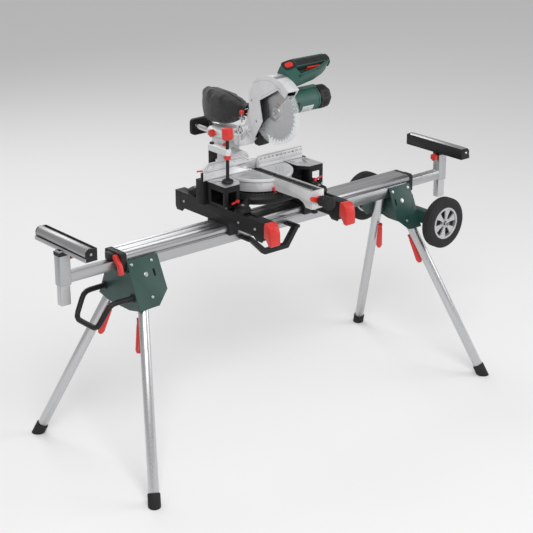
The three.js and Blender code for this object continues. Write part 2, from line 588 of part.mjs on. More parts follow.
// ---------------------------------------------------------------- saw: head
/** The blade guard casting, its arm back to the pivot and the dust port. */
function upperGuard() {
  const centre = [head.bladeY, head.bladeZ];
  const pivot = [head.pivotY, head.pivotZ];
  const wall = 4;
  const back = [[-16, 126], [-4, 150], [8, 195], [14, 250], [14, 296], [-14, 341], [-40, 363]];
  const outer = [...back, ...arc(centre, head.guard, 72, 134, 12)];
  const inner = [...arc(centre, head.guard - wall, 134, 72, 12), [-42, 358.5], [-17.5, 338],
    [10, 294.5], [10, 250.5], [4, 196], [-7.5, 151.5], [-19.5, 127.5]];
  const rim = slab('x', [...outer, ...inner], -head.half, head.half);
  const leftPlate = slab('x', [...outer, [-188, 313], [-150, 336], [-45, 277], [-62, 200]],
    -head.half, -head.half + wall);
  const rightPlate = slab('x', [...outer, [-188, 313], ...arc(centre, 44, 150, 290, 8)],
    head.half - wall, head.half);
  const arm = slab('x', [[-7.5, 151.5], [-19.5, 127.5], [-16, 123], [10, 128],
    [head.pivotY, head.pivotZ - 15], ...arc(pivot, 15, -60, 60, 4), [34, 186], [24, 226], [12, 236],
    [12, 222]], -22, 22);
  const barrel = rod([-28, ...pivot], [28, ...pivot], 15, 20);
  const port = rod([0, 11.5, 218], [0, 64 - GAP, 218], 17, 20);
  const bore = rod([-60, ...pivot], [60, ...pivot], 6 + GAP, 16);
  return cut(join(rim, leftPlate, rightPlate, arm, barrel, port), bore);
}

/** The blade with its flanges and arbor. */
function sawBlade() {
  const t = blade.thickness / 2;
  return turned([[0, -14], [8, -14], [8, -8], [blade.flange, -6], [blade.flange, -t],
    [blade.radius, -t], [blade.radius, t], [blade.flange, t], [blade.flange, 6],
    [8, 8], [8, head.half - 4 - GAP], [0, head.half - 4 - GAP]],
  [0, head.bladeY, head.bladeZ], [1, 0, 0], 36);
}

/** The clear guard over the lower half of the blade. */
function lowerGuard() {
  const centre = [head.bladeY, head.bladeZ];
  const rim = [...arc(centre, 118, 137, 318, 26), ...arc(centre, 30, 318, 137, 10)];
  const channel = [...arc(centre, 115, 120, 340, 30), ...arc(centre, 26, 340, 120, 10)];
  return cut(slab('x', rim, -13, 13), slab('x', channel, -11, 11));
}

/** The motor housing on the right of the guard. */
function motorHousing() {
  const y = head.bladeY;
  const z = head.bladeZ + motorRise;
  const barrel = turned([[0, 0], [48, 0], [48, 22], [44, 28], [43, 158], [41, 160], [40, 204],
    [30, 214], [0, 214]], [head.half + GAP, y, z], [1, 0, 0], 32);
  const rib = block([head.half + 20, 190], [y - 8, y + 8], [z + 38, z + 50]);
  return join(barrel, rib);
}

/** Tilts a piece drawn level, with the handle's grip along x at the origin, to where it belongs. */
const onHandle = (geometry) =>
  geometry.rotateX(THREE.MathUtils.degToRad(handle.tilt)).translate(0, handle.y, handle.z);

/** The loop handle to the right of the guard: the grip behind, a sloping bar in front. */
function handleLoop() {
  const x0 = head.half + GAP;
  const { low, high } = handle;
  const outline = [[x0, 8], [58, 22], [236, 20], [248, 10], [250, -6], [238, -24], [208, -40],
    [150, -60], [62, -76], [x0, -78]];
  const window = [[76, -20], [222, -18], [222, -22], [198, -32], [148, -48], [76, -60]];
  const loop = slab('z', outline.reverse(), low, high, [window]);
  const slope = slab('y', [[x0 - 5, 4], [112, high + 5], [x0 - 5, high + 5]], -110, 40);
  const grip = rod([84, 0, 1], [236, 0, 1], 21, 24);
  const pocket = block([136, 200], [-30, 4], [-10, 8]);
  return onHandle(cut(join(cut(loop, slope), grip), pocket, buttonShape(0.6)));
}

/** The lock-off paddle on the sloping shoulder of the handle, grown by a clearance. */
function buttonShape(grow = 0) {
  const oval = rounded([0, 0], [17 + grow, 11 + grow], 10, 3);
  const g = slab('z', oval, -7 - 6 * grow, 4);
  return g.rotateY(THREE.MathUtils.degToRad(-11)).translate(60, 0, 11);
}

/** The trigger bar on the inner side of the grip. */
const triggerShape = () => block([137, 199], [-27, -8], [-9, 7]);

/** A plain closed bag with the outer shape of the fabric one. */
function dustBag() {
  const side = slab('x', [[64, 200], [64, 236], [110, 250], [300, 264], [322, 250], [318, 150],
    [300, 136], [140, 150], [84, 186]], -50, 50);
  const plan = slab('z', [[-24, 60], [24, 60], [30, 90], [50, 170], [44, 250], [10, 324],
    [-10, 324], [-44, 250], [-50, 170], [-30, 90]], 100, 300);
  return common(side, plan);
}

// ---------------------------------------------------------------- assembly: stand
piece(stand, 'main_beam', mainBeam(), aluminium);
const ends = [['left', -1], ['right', 1]];
const corners = [['rear', 1], ['front', -1]];

for (const [end, sx] of ends) {
  const toEnd = (geometry) => (sx > 0 ? geometry : mirrored(geometry, 0));
  const width = sx > 0 ? 114 : housing.width;
  const cap = sx > 0 ? mirrored(beamEndCap(), 1) : beamEndCap();
  piece(stand, `beam_end_cap_${end}`, toEnd(cap), black);
  piece(stand, `leg_housing_${end}`, sx > 0 ? mirrored(legHousing(width), 0) : legHousing(width), green);
  piece(stand, `extension_arm_${end}`, toEnd(extensionArm()), aluminium);
  piece(stand, `extension_lever_${end}`, toEnd(extensionLever(sx)), red);
  piece(stand, `roller_support_${end}`, toEnd(rollerSupport()), black);
  piece(stand, `roller_${end}`, toEnd(supportRoller()), steel);
  piece(stand, `height_knob_${end}`,
    toEnd(lobedKnob([post.x - post.halfX - GAP, 0, 848], [-1, 0, 0], 16, 14)), red);
  for (const [side, sy] of corners) {
    const toCorner = (geometry) => toEnd(sy > 0 ? geometry : mirrored(geometry, 1));
    piece(stand, `leg_${side}_${end}`, toCorner(legTube()), aluminium);
    piece(stand, `foot_${side}_${end}`, toCorner(legFoot()), rubber);
    piece(stand, `leg_lock_lever_${side}_${end}`, toCorner(legLockLever()), red);
  }
  const bar = piece(stand, `crossbar_${end}`, crossbarBody(), black);
  bar.position.x = crossbar[end];
  const lever = piece(stand, `crossbar_lever_${end}`, crossbarLever(), red);
  lever.position.x = crossbar[end];
}

piece(stand, 'carry_handle', carryHandle(), black);
piece(stand, 'centre_handle', centreHandle(), black);
piece(stand, 'axle_bracket', axleBracket(), green);
for (const [side, sy] of corners) {
  const body = sy > 0 ? mirrored(wheelBody(), 1) : wheelBody();
  const mesh = piece(stand, `wheel_${side}`, body, rubber);
  mesh.position.set(wheel.x, sy * wheel.face, wheel.z);
}

// ---------------------------------------------------------------- assembly: saw
piece(machine, 'saw_base', sawBase(), black);
piece(machine, 'table_extension_right', tableExtension(), black);
piece(machine, 'table_extension_left', mirrored(tableExtension(), 0), black);
piece(machine, 'turntable', turntable(), casting);
piece(machine, 'kerf_insert', kerfInsert(), black);
piece(machine, 'mitre_knob', mitreKnob(), black);
piece(machine, 'mitre_latch', mitreLatch(), red);
piece(machine, 'fence', fence(), casting);
piece(machine, 'upper_fence', upperFence(), casting);
piece(machine, 'clamp_arm', clampArm(), casting);
piece(machine, 'clamp_spindle', clampSpindle(), black);
piece(machine, 'tilt_bracket', tiltBracket(), casting);
piece(machine, 'bevel_lever', bevelLever(), black);
piece(machine, 'slide_rails', slideRails(), steel);
piece(machine, 'slide_lock_knob', slideLockKnob(), red);
piece(machine, 'carriage', carriage(), casting);
piece(machine, 'upper_guard', upperGuard(), casting);
piece(machine, 'blade', sawBlade(), steel);
piece(machine, 'lower_guard', lowerGuard(), clear);
piece(machine, 'motor_housing', motorHousing(), green);
piece(machine, 'handle', handleLoop(), green);
piece(machine, 'trigger', onHandle(triggerShape()), red);
piece(machine, 'lock_button', onHandle(buttonShape()), red);
piece(machine, 'dust_bag', dustBag(), fabric);

export default group;
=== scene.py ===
"""Looks of the mitre saw on its stand: materials, fine pieces, lights and the camera.

Lengths are in metres in the part's own frame. Points written in millimetres go through stand()
for the stand's frame and saw() for the saw's own frame, which sits on its table at the blade.
"""
from math import atan2, copysign, cos, pi, radians, sin

import bmesh
import bpy
from mathutils import Matrix, Vector, noise
from mathutils.bvhtree import BVHTree


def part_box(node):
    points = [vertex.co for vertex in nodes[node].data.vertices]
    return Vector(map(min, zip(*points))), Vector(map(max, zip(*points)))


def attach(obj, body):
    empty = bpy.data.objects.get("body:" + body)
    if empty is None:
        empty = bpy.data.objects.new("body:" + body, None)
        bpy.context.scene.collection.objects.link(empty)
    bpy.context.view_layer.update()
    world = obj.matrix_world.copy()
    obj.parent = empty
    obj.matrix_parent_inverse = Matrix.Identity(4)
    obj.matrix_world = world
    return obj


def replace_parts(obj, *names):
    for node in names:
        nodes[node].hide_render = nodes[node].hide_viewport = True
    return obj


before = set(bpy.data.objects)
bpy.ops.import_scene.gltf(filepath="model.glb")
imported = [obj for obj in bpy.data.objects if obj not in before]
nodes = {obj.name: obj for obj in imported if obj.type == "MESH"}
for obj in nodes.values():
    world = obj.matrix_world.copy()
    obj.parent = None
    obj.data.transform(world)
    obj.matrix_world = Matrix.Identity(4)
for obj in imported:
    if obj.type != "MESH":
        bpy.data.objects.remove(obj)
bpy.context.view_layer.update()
MM = 0.001

# in the part's frame, in millimetres
SAW_ORIGIN = Vector((-44, 23, 981))
WHEEL_X, WHEEL_FACE, WHEEL_Z = 725, 248, 660
TREAD_RADIUS = 103.8
FOOT_X, FOOT_Y, LEG_PIVOT_Z = 849, 376, 722
SLOPE_X, SLOPE_Y = 0.28, 0.445
PLATE_FACE = 24.4
SLEEVE_X = 938.5

# in the saw's own frame, in millimetres and degrees
BLADE = (0, -110, 240)
TEETH = 40
MOTOR = (-110, 266)
TABLE_RADIUS = 132
ARM_END = (0, -345.4, -36)
CLAMP_SCREW = (-192, -63, 0)
HEAD_PIVOT = (38, 152)
RAIL_X, RAIL_Z = 35, 105
TILT_Z = 12
HANDLE_Y, HANDLE_Z, HANDLE_TILT = -106, 399, 30
BUTTON_X, BUTTON_RISE, BUTTON_SLOPE = 60, 11, 11
BAG_NECK = (0, 64, 218)

LEFT, RIGHT = (-1, 0, 0), (1, 0, 0)
FORWARD, BACKWARD, UP = (0, -1, 0), (0, 1, 0), (0, 0, 1)
# LINE is also the thickness of the painted shade drawn along grooves on the tables.
PRINT, LINE = 0.14, 0.12  # thickness of printed scales and of grooves drawn as lines
SMOOTH_BELOW = 32  # degrees
ENDS = (("left", -1), ("right", 1))


def stand(x, y, z):
    """A point given in millimetres in the part's frame."""
    return Vector((x, y, z)) * MM


def saw(x, y, z):
    """A point given in millimetres in the saw's own frame."""
    return (Vector((x, y, z)) + SAW_ORIGIN) * MM


def new_object(name, data):
    """An object of that name, already in the scene."""
    obj = bpy.data.objects.new(name, data)
    bpy.context.scene.collection.objects.link(obj)
    return obj


# ---------- materials
def put(node, **values):
    """Sets inputs of a node; an underscore stands for a space in the name."""
    for name, value in values.items():
        node.inputs[name.replace("_", " ")].default_value = value


def new_material(name, color, roughness, metallic=0.0, **values):
    """A material whose shader is set directly; the rest is added by its caller."""
    mat = bpy.data.materials.new(name)
    mat.use_nodes = True
    put(mat.node_tree.nodes["Principled BSDF"], Base_Color=(*color, 1), Roughness=roughness,
        Metallic=metallic, **values)
    return mat


def noise_in(mat, scale, stretch=(1, 1, 1), detail=3.0):
    """A noise texture in object space, stretched along an axis."""
    tree = mat.node_tree
    coords = tree.nodes.new("ShaderNodeTexCoord")
    mapping = tree.nodes.new("ShaderNodeMapping")
    put(mapping, Scale=stretch)
    texture = tree.nodes.new("ShaderNodeTexNoise")
    put(texture, Scale=scale, Detail=detail)
    tree.links.new(coords.outputs["Object"], mapping.inputs["Vector"])
    tree.links.new(mapping.outputs["Vector"], texture.inputs["Vector"])
    return texture.outputs["Fac"]


def ramp(mat, fac, low, high, start=0.3, stop=0.7):
    """A colour ramp between two greys or colours."""
    node = mat.node_tree.nodes.new("ShaderNodeValToRGB")
    node.color_ramp.elements[0].position = start
    node.color_ramp.elements[1].position = stop
    for element, value in zip(node.color_ramp.elements, (low, high)):
        rgb = value if isinstance(value, tuple) else (value,) * 3
        element.color = (*rgb, 1)
    mat.node_tree.links.new(fac, node.inputs["Fac"])
    return node.outputs["Color"]


def vary(mat, fac, roughness=None, color=None):
    """Lets a texture move the roughness, the colour or both between two values."""
    shader = mat.node_tree.nodes["Principled BSDF"]
    if roughness:
        mat.node_tree.links.new(ramp(mat, fac, *roughness), shader.inputs["Roughness"])
    if color:
        mat.node_tree.links.new(ramp(mat, fac, *color), shader.inputs["Base Color"])


def bump(mat, height, strength, distance):
    """Adds a bump on top of any the material already has."""
    tree = mat.node_tree
    shader = tree.nodes["Principled BSDF"]
    node = tree.nodes.new("ShaderNodeBump")
    put(node, Strength=strength, Distance=distance)
    tree.links.new(height, node.inputs["Height"])
    if shader.inputs["Normal"].is_linked:
        before = shader.inputs["Normal"].links[0].from_socket
        tree.links.new(before, node.inputs["Normal"])
    tree.links.new(node.outputs["Normal"], shader.inputs["Normal"])


def scaled(color, factor):
    """A colour made darker or lighter."""
    return tuple(min(1.0, c * factor) for c in color)


def brushed(name, color, stretch, roughness=(0.26, 0.42)):
    """Drawn or ground metal with fine lines along one axis."""
    mat = new_material(name, color, 0.34, 1.0)
    lines = noise_in(mat, 420, stretch, 2)
    vary(mat, lines, roughness, (scaled(color, 0.9), color))
    bump(mat, lines, 0.12, 0.0002)
    return mat


def grained(name, color, roughness, metallic=0.0, scale=1500, depth=0.25, spread=0.06, **values):
    """Powder coat, cast paint or moulded plastic: a fine grain and a slightly uneven gloss."""
    mat = new_material(name, color, roughness, metallic, **values)
    bump(mat, noise_in(mat, scale, detail=2), depth, 0.0002)
    cloud = noise_in(mat, 22, detail=4)
    gloss = (roughness - spread, roughness + spread)
    vary(mat, cloud, gloss, (scaled(color, 0.93), scaled(color, 1.05)))
    return mat


GREEN = (0.0150, 0.056, 0.046)
GREEN_SAW = (0.0175, 0.083, 0.064)
BLACK = (0.0065, 0.0066, 0.0070)
RED = (0.62, 0.030, 0.024)
SILVER = (0.69, 0.695, 0.705)

beam_metal = brushed("beam_metal", (0.51, 0.515, 0.525), (0.02, 1, 1))
leg_metal = brushed("leg_metal", (0.62, 0.625, 0.635), (1, 1, 0.03))
roller_metal = brushed("roller_metal", (0.44, 0.445, 0.45), (1, 0.02, 1), (0.3, 0.45))
rail_metal = brushed("rail_metal", (0.68, 0.685, 0.69), (1, 0.02, 1), (0.12, 0.2))
bolt_metal = grained("bolt_metal", (0.56, 0.565, 0.57), 0.32, 1.0, depth=0.1)
casting = grained("casting", SILVER, 0.40, 0.3, scale=900, depth=0.3)
machined = brushed("machined", (0.80, 0.805, 0.815), (0.04, 1, 1), (0.28, 0.4))
green_coat = grained("green_coat", GREEN, 0.42, depth=0.3, Specular_IOR_Level=0.55)
green_plastic = grained("green_plastic", GREEN_SAW, 0.46, scale=1100, depth=0.35)
black_coat = grained("black_coat", BLACK, 0.48, depth=0.3, Specular_IOR_Level=0.35)
black_plastic = grained("black_plastic", BLACK, 0.52, scale=1200, depth=0.35,
                        Specular_IOR_Level=0.4)
black_cast = grained("black_cast", (0.0045, 0.0045, 0.0048), 0.5, scale=700, depth=0.5,
                     Specular_IOR_Level=0.3)
rubber = grained("rubber", (0.0085, 0.0085, 0.0087), 0.78, scale=1600, depth=0.4)
red_plastic = grained("red_plastic", RED, 0.34, scale=1300, depth=0.12, spread=0.04)
label = grained("label", (0.62, 0.64, 0.64), 0.4, depth=0.05)
# Black: real print on the scales, and also painted shade drawn along grooves on the fences and side
# tables.
print_and_groove_shade = new_material("print_and_groove_shade", (0.012, 0.012, 0.012), 0.6)
print_red = new_material("print_red", (0.50, 0.018, 0.014), 0.4)
# Grey: real print on the rating plate, and also painted shade drawn along the turntable's arc
# grooves.
grey_print_and_groove_shade = new_material("grey_print_and_groove_shade", (0.17, 0.17, 0.175), 0.5)
# Near-black: the real dark joints at seams, and also painted shade standing in for slots, vents,
# screw holes and the recess behind the pivot cap.
seam_and_hole_shade = new_material("seam_and_hole_shade", (0.004, 0.004, 0.004), 0.9)
# Dark silver: the rim's real grey stripe, and also painted shade along the guard's creases.
stripe_and_crease_shade = grained("stripe_and_crease_shade", (0.30, 0.305, 0.31), 0.4, 0.5, depth=0.2)
hub_paint = grained("hub_paint", (0.52, 0.525, 0.535), 0.38, 0.6, depth=0.15)
clear = new_material("clear", (0.86, 0.9, 0.92), 0.06, IOR=1.5, Alpha=0.16)


def blade_steel():
    """Ground steel with circular lines round the arbor."""
    mat = new_material("blade_steel", (0.5, 0.505, 0.51), 0.3, 1.0, Anisotropic=0.75)
    tree = mat.node_tree
    tangent = tree.nodes.new("ShaderNodeTangent")
    tangent.direction_type = "RADIAL"
    tangent.axis = "X"
    tree.links.new(tangent.outputs[0], tree.nodes["Principled BSDF"].inputs["Tangent"])

    def vector_math(operation, vector, constant=None):
        node = tree.nodes.new("ShaderNodeVectorMath")
        node.operation = operation
        tree.links.new(vector, node.inputs[0])
        if constant:
            node.inputs[1].default_value = constant
        return node.outputs

    coords = tree.nodes.new("ShaderNodeTexCoord").outputs["Object"]
    offset = vector_math("SUBTRACT", coords, saw(*BLADE))
    flat = vector_math("MULTIPLY", offset[0], (0, 1, 1))
    texture = tree.nodes.new("ShaderNodeTexNoise")
    texture.noise_dimensions = "1D"
    put(texture, Scale=900)
    tree.links.new(vector_math("LENGTH", flat[0])["Value"], texture.inputs["W"])
    vary(mat, texture.outputs["Fac"], (0.27, 0.31), ((0.46, 0.465, 0.47), (0.49, 0.495, 0.50)))
    return mat


def bag_cloth():
    """Woven nylon: two crossed fine waves and soft clouding."""
    mat = new_material("bag_cloth", (0.012, 0.0125, 0.0135), 0.86, Sheen_Weight=0.25)
    tree = mat.node_tree
    coords = tree.nodes.new("ShaderNodeTexCoord")
    for direction in ("Y", "Z"):
        wave = tree.nodes.new("ShaderNodeTexWave")
        wave.bands_direction = direction
        put(wave, Scale=260, Distortion=0.6)
        tree.links.new(coords.outputs["Object"], wave.inputs["Vector"])
        bump(mat, wave.outputs["Fac"], 0.25, 0.0003)
    tones = ((0.010, 0.0105, 0.0115), (0.017, 0.0175, 0.019))
    vary(mat, noise_in(mat, 30, detail=4), (0.8, 0.92), tones)
    return mat


blade_metal = blade_steel()
cloth = bag_cloth()
piping = grained("piping", (0.018, 0.0185, 0.020), 0.8, scale=900, depth=0.5)


# ---------- CAD pieces that stay
# The wheels, blade, mitre knob and dust bag are replaced by finer pieces further down.
def dress(name, mat, edge=0.8, parts=()):
    """Gives a CAD piece its material, softened edges, and other materials on chosen faces."""
    obj = nodes[name]
    obj.data.materials.clear()
    obj.data.materials.append(mat)
    for other, test in parts:
        obj.data.materials.append(other)
        index = len(obj.data.materials) - 1
        for face in obj.data.polygons:
            if test(face.center / MM, face.normal):
                face.material_index = index
    soften(obj, edge)
    return obj


def soften(obj, edge, angle=SMOOTH_BELOW):
    """Welds, bevels and smooths a piece; edges sharper than the angle stay crisp."""
    weld = obj.modifiers.new("weld", "WELD")
    weld.merge_threshold = 0.00002
    if edge:
        bevel = obj.modifiers.new("bevel", "BEVEL")
        bevel.width = edge * MM
        bevel.segments = 2
        bevel.limit_method = "ANGLE"
        bevel.angle_limit = radians(angle)
        bevel.use_clamp_overlap = True
        bevel.harden_normals = True
    obj.data.polygons.foreach_set("use_smooth", [True] * len(obj.data.polygons))
    obj.data.set_sharp_from_angle(angle=radians(angle))


for end in ("left", "right"):
    dress(f"beam_end_cap_{end}", black_plastic, 1.5)
    dress(f"leg_housing_{end}", green_coat, 1.0)
    dress(f"extension_arm_{end}", beam_metal, 1.2)
    dress(f"extension_lever_{end}", red_plastic, 1.5)
    dress(f"height_knob_{end}", red_plastic, 1.5)
    dress(f"crossbar_{end}", black_coat, 1.5)
    dress(f"crossbar_lever_{end}", red_plastic, 2.0)
    dress(f"roller_{end}", roller_metal, 0.8)
    dress(f"roller_support_{end}", black_coat, 0.6, [
        (leg_metal, lambda c, n: c.z < 871),
        (beam_metal, lambda c, n: abs(c.x) > 944.4 and c.z > 872),
    ])
    for side in ("rear", "front"):
        dress(f"leg_{side}_{end}", leg_metal, 0.8)
        dress(f"foot_{side}_{end}", rubber, 1.2)
        dress(f"leg_lock_lever_{side}_{end}", red_plastic, 1.2)
dress("main_beam", beam_metal, 0.6)
dress("carry_handle", black_plastic, 1.0)
dress("centre_handle", black_plastic, 2.5)
dress("axle_bracket", green_coat, 0.8)

dress("saw_base", black_cast, 2.0)
dress("turntable", casting, 1.2, [
    (machined, lambda c, n: n.z > 0.9 and abs(c.z - SAW_ORIGIN.z) < 1.5),
    (black_plastic, lambda c, n: c.z < 905),
])
dress("kerf_insert", black_plastic, 0.3)
dress("mitre_latch", red_plastic, 1.2)
dress("fence", casting, 0.8)
dress("upper_fence", casting, 0.8)
dress("clamp_arm", casting, 1.5, [(black_plastic, lambda c, n: c.z < SAW_ORIGIN.z + 103)])
dress("clamp_spindle", black_plastic, 1.0, [(red_plastic, lambda c, n: c.z > SAW_ORIGIN.z + 155)])
dress("tilt_bracket", casting, 1.5)
dress("bevel_lever", black_plastic, 1.5)
dress("slide_lock_knob", red_plastic, 1.5)
dress("slide_rails", rail_metal, 0.8, [(black_cast, lambda c, n: c.y > SAW_ORIGIN.y + 317.5)])
dress("carriage", casting, 1.5)
dress("upper_guard", casting, 1.6)
dress("lower_guard", clear, 0.6)
dress("motor_housing", green_plastic, 1.5, [(black_plastic, lambda c, n: c.x > 146)])
dress("handle", green_plastic, 2.5)
dress("trigger", red_plastic, 1.5)
dress("lock_button", red_plastic, 1.5)
for side in ("left", "right"):
    dress(f"table_extension_{side}", black_cast, 1.2, [
        (machined, lambda c, n: n.z > 0.9 and c.z > SAW_ORIGIN.z - 0.5),
    ])


# ---------- shapes for the fine pieces
def box_shape(low, high):
    """A box between two corners."""
    xs, ys, zs = zip(low, high)
    corners = [(x, y, z) for x in xs for y in ys for z in zs]
    faces = [(0, 1, 3, 2), (4, 6, 7, 5), (0, 4, 5, 1), (2, 3, 7, 6), (0, 2, 6, 4), (1, 5, 7, 3)]
    return corners, faces


def prism(axis, outline, low, high):
    """An outline of (y, z), (x, z) or (x, y) points run along x, y or z."""
    def point(u, v, w):
        return {"x": (w, u, v), "y": (u, w, v), "z": (u, v, w)}[axis]

    count = len(outline)
    corners = [point(u, v, low) for u, v in outline] + [point(u, v, high) for u, v in outline]
    sides = [(i, (i + 1) % count, (i + 1) % count + count, i + count) for i in range(count)]
    return corners, [tuple(range(count))[::-1], tuple(range(count, 2 * count))] + sides


def turned(profile, start, direction, steps=32, ribs=0, depth=0.0):
    """A turned shape from (radius, height) points, closed by a flat cap at each end.

    ribs and depth press lengthwise grooves into it.
    """
    turn = Vector(UP).rotation_difference(Vector(direction).normalized())
    corners = []
    for radius, height in profile:
        for i in range(steps):
            a = 2 * pi * i / steps
            r = radius
            if ribs:
                r -= depth * min(1, radius / 10) * (0.5 + 0.5 * cos(ribs * a))
            spot = turn @ Vector((r * cos(a), r * sin(a), height)) + Vector(start)
            corners.append(tuple(spot))
    faces = []
    for level in range(len(profile) - 1):
        low, high = level * steps, (level + 1) * steps
        for i in range(steps):
            j = (i + 1) % steps
            faces.append((low + i, low + j, high + j, high + i))
    faces.append(tuple(range(steps))[::-1])
    faces.append(tuple((len(profile) - 1) * steps + i for i in range(steps)))
    return corners, faces


def ring(inner, outer, low, high, start, direction, steps=40):
    """A closed ring: a turned profile that comes back to where it began."""
    profile = [(inner, low), (outer, low), (outer, high), (inner, high)]
    return closed_round(*turned(profile, start, direction, steps), steps)


def closed_round(corners, faces, steps):
    """Joins the last turn of a turned shape to its first, in place of the two caps."""
    last = len(corners) - steps
    loop = [(last + i, last + (i + 1) % steps, (i + 1) % steps, i) for i in range(steps)]
    return corners, faces[:-2] + loop


def bar(start, end, radius, steps=16, end_radius=None):
    """A round bar between two points, which may taper."""
    length = (Vector(end) - Vector(start)).length
    top = radius if end_radius is None else end_radius
    return turned([(radius, 0), (top, length)], start, Vector(end) - Vector(start), steps)


def polar(centre, radius, degrees):
    """One flat point round a centre."""
    a = radians(degrees)
    return (centre[0] + radius * cos(a), centre[1] + radius * sin(a))


def arc_points(centre, radius, first, last, steps):
    """Points on an arc, angles in degrees."""
    return [polar(centre, radius, first + (last - first) * i / steps) for i in range(steps + 1)]


def band(centre, outer, inner, first, last, steps):
    """The outline between two arcs, angles in degrees."""
    return (arc_points(centre, outer, first, last, steps)
            + arc_points(centre, inner, last, first, steps))


def radial(centre, angle, outline):
    """Flat points given along and across a radius, turned by an angle in radians."""
    c, s = cos(angle), sin(angle)
    return [(centre[0] + r * c - t * s, centre[1] + r * s + t * c) for r, t in outline]


def dash(start, end, width):
    """The outline of a short line along a radius."""
    return [(start, -width / 2), (end, -width / 2), (end, width / 2), (start, width / 2)]


def strip(points, width):
    """The outline of a line of that width through flat points."""
    left, right = [], []
    for i, point in enumerate(points):
        before = Vector(points[max(i - 1, 0)])
        after = Vector(points[min(i + 1, len(points) - 1)])
        along = (after - before).normalized()
        across = Vector((-along.y, along.x)) * width / 2
        left.append(tuple(Vector(point) + across))
        right.append(tuple(Vector(point) - across))
    return left + right[::-1]


def lettering(words, size, place, right, up, depth=0.15):
    """Flat characters as a shape, centred on a point, reading along right with up above."""
    curve = bpy.data.curves.new("words", "FONT")
    curve.body = words
    curve.size = size
    curve.extrude = depth / 2
    curve.align_x = "CENTER"
    curve.align_y = "CENTER"
    curve.resolution_u = 3
    holder = new_object("words", curve)
    bpy.context.view_layer.update()
    mesh = bpy.data.meshes.new_from_object(holder)
    bpy.data.objects.remove(holder)
    right, up = Vector(right), Vector(up)
    turn = Matrix((right, up, right.cross(up))).transposed()
    corners = [tuple(turn @ v.co + Vector(place)) for v in mesh.vertices]
    faces = [tuple(f.vertices) for f in mesh.polygons]
    bpy.data.meshes.remove(mesh)
    return corners, faces


def add_piece(name, shapes, mat, body, edge=0, place=saw, angle=SMOOTH_BELOW):
    """Joins shapes, given in millimetres, into one piece that rides on a body.

    place turns a point into the part's frame, and edge is the width of the softened edges.
    """
    corners, faces = [], []
    for shape_corners, shape_faces in shapes:
        offset = len(corners)
        corners += [place(*c) for c in shape_corners]
        faces += [tuple(i + offset for i in f) for f in shape_faces]
    mesh = bpy.data.meshes.new(name)
    mesh.from_pydata(corners, [], faces)
    welded = bmesh.new()
    welded.from_mesh(mesh)
    bmesh.ops.remove_doubles(welded, verts=welded.verts, dist=0.000002)
    bmesh.ops.recalc_face_normals(welded, faces=welded.faces)
    welded.to_mesh(mesh)
    welded.free()
    mesh.materials.append(mat)
    obj = new_object(name, mesh)
    soften(obj, edge, angle)
    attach(obj, body)
    return obj


# ---------- stand: fine pieces
def plate_frame(sx, sy):
    """Origin of the housing plate at one corner, and its directions down and outward."""
    down = Vector((0, sy * SLOPE_Y, -1)).normalized()
    out = Vector((0, sy, SLOPE_Y)).normalized()
    x, y = FOOT_X - SLOPE_X * LEG_PIVOT_Z, FOOT_Y - SLOPE_Y * LEG_PIVOT_Z
    return Vector((sx * x, sy * y, LEG_PIVOT_Z)), down, out


def hex_bolt(place, direction, radius, height):
    """A washer with a hexagon head on it."""
    washer = turned([(radius * 1.25, 0), (radius * 1.25, 1.2)], place, direction, 24)
    profile = [(radius, 1.2), (radius, height - 0.8), (radius * 0.85, height)]
    head = turned(profile, place, direction, 6)
    return [washer, head]


def housing_bolts():
    """Bolt heads, the pivot bolt of each leg, and a slot on the four sloping plates drawn as
    painted shade.
    """
    for end, sx in ENDS:
        shapes = []
        slots = []
        for sy in (-1, 1):
            origin, down, out = plate_frame(sx, sy)
            for x, fall, size in ((642, 0, 7), (690, -46, 4.5), (604, -44, 4.5), (640, 84, 4.5)):
                spot = Vector((sx * x, origin.y, origin.z)) + down * fall + out * PLATE_FACE
                shapes += hex_bolt(spot, out, size, 4.5)
            # A row of thin dark discs on the plate: painted shade standing in for the slot.
            spot = Vector((sx * 606, origin.y, origin.z)) + out * (PLATE_FACE + 0.1)
            for fall in range(-10, 11, 2):
                hole = spot + down * fall
                slots.append(bar(hole, hole + out * 0.35, 4.2, 20))
        add_piece(f"housing_bolts_{end}", shapes, bolt_metal, "stand", 0.2, stand)
        add_piece(f"housing_slot_shade_{end}", slots, seam_and_hole_shade, "stand", place=stand)


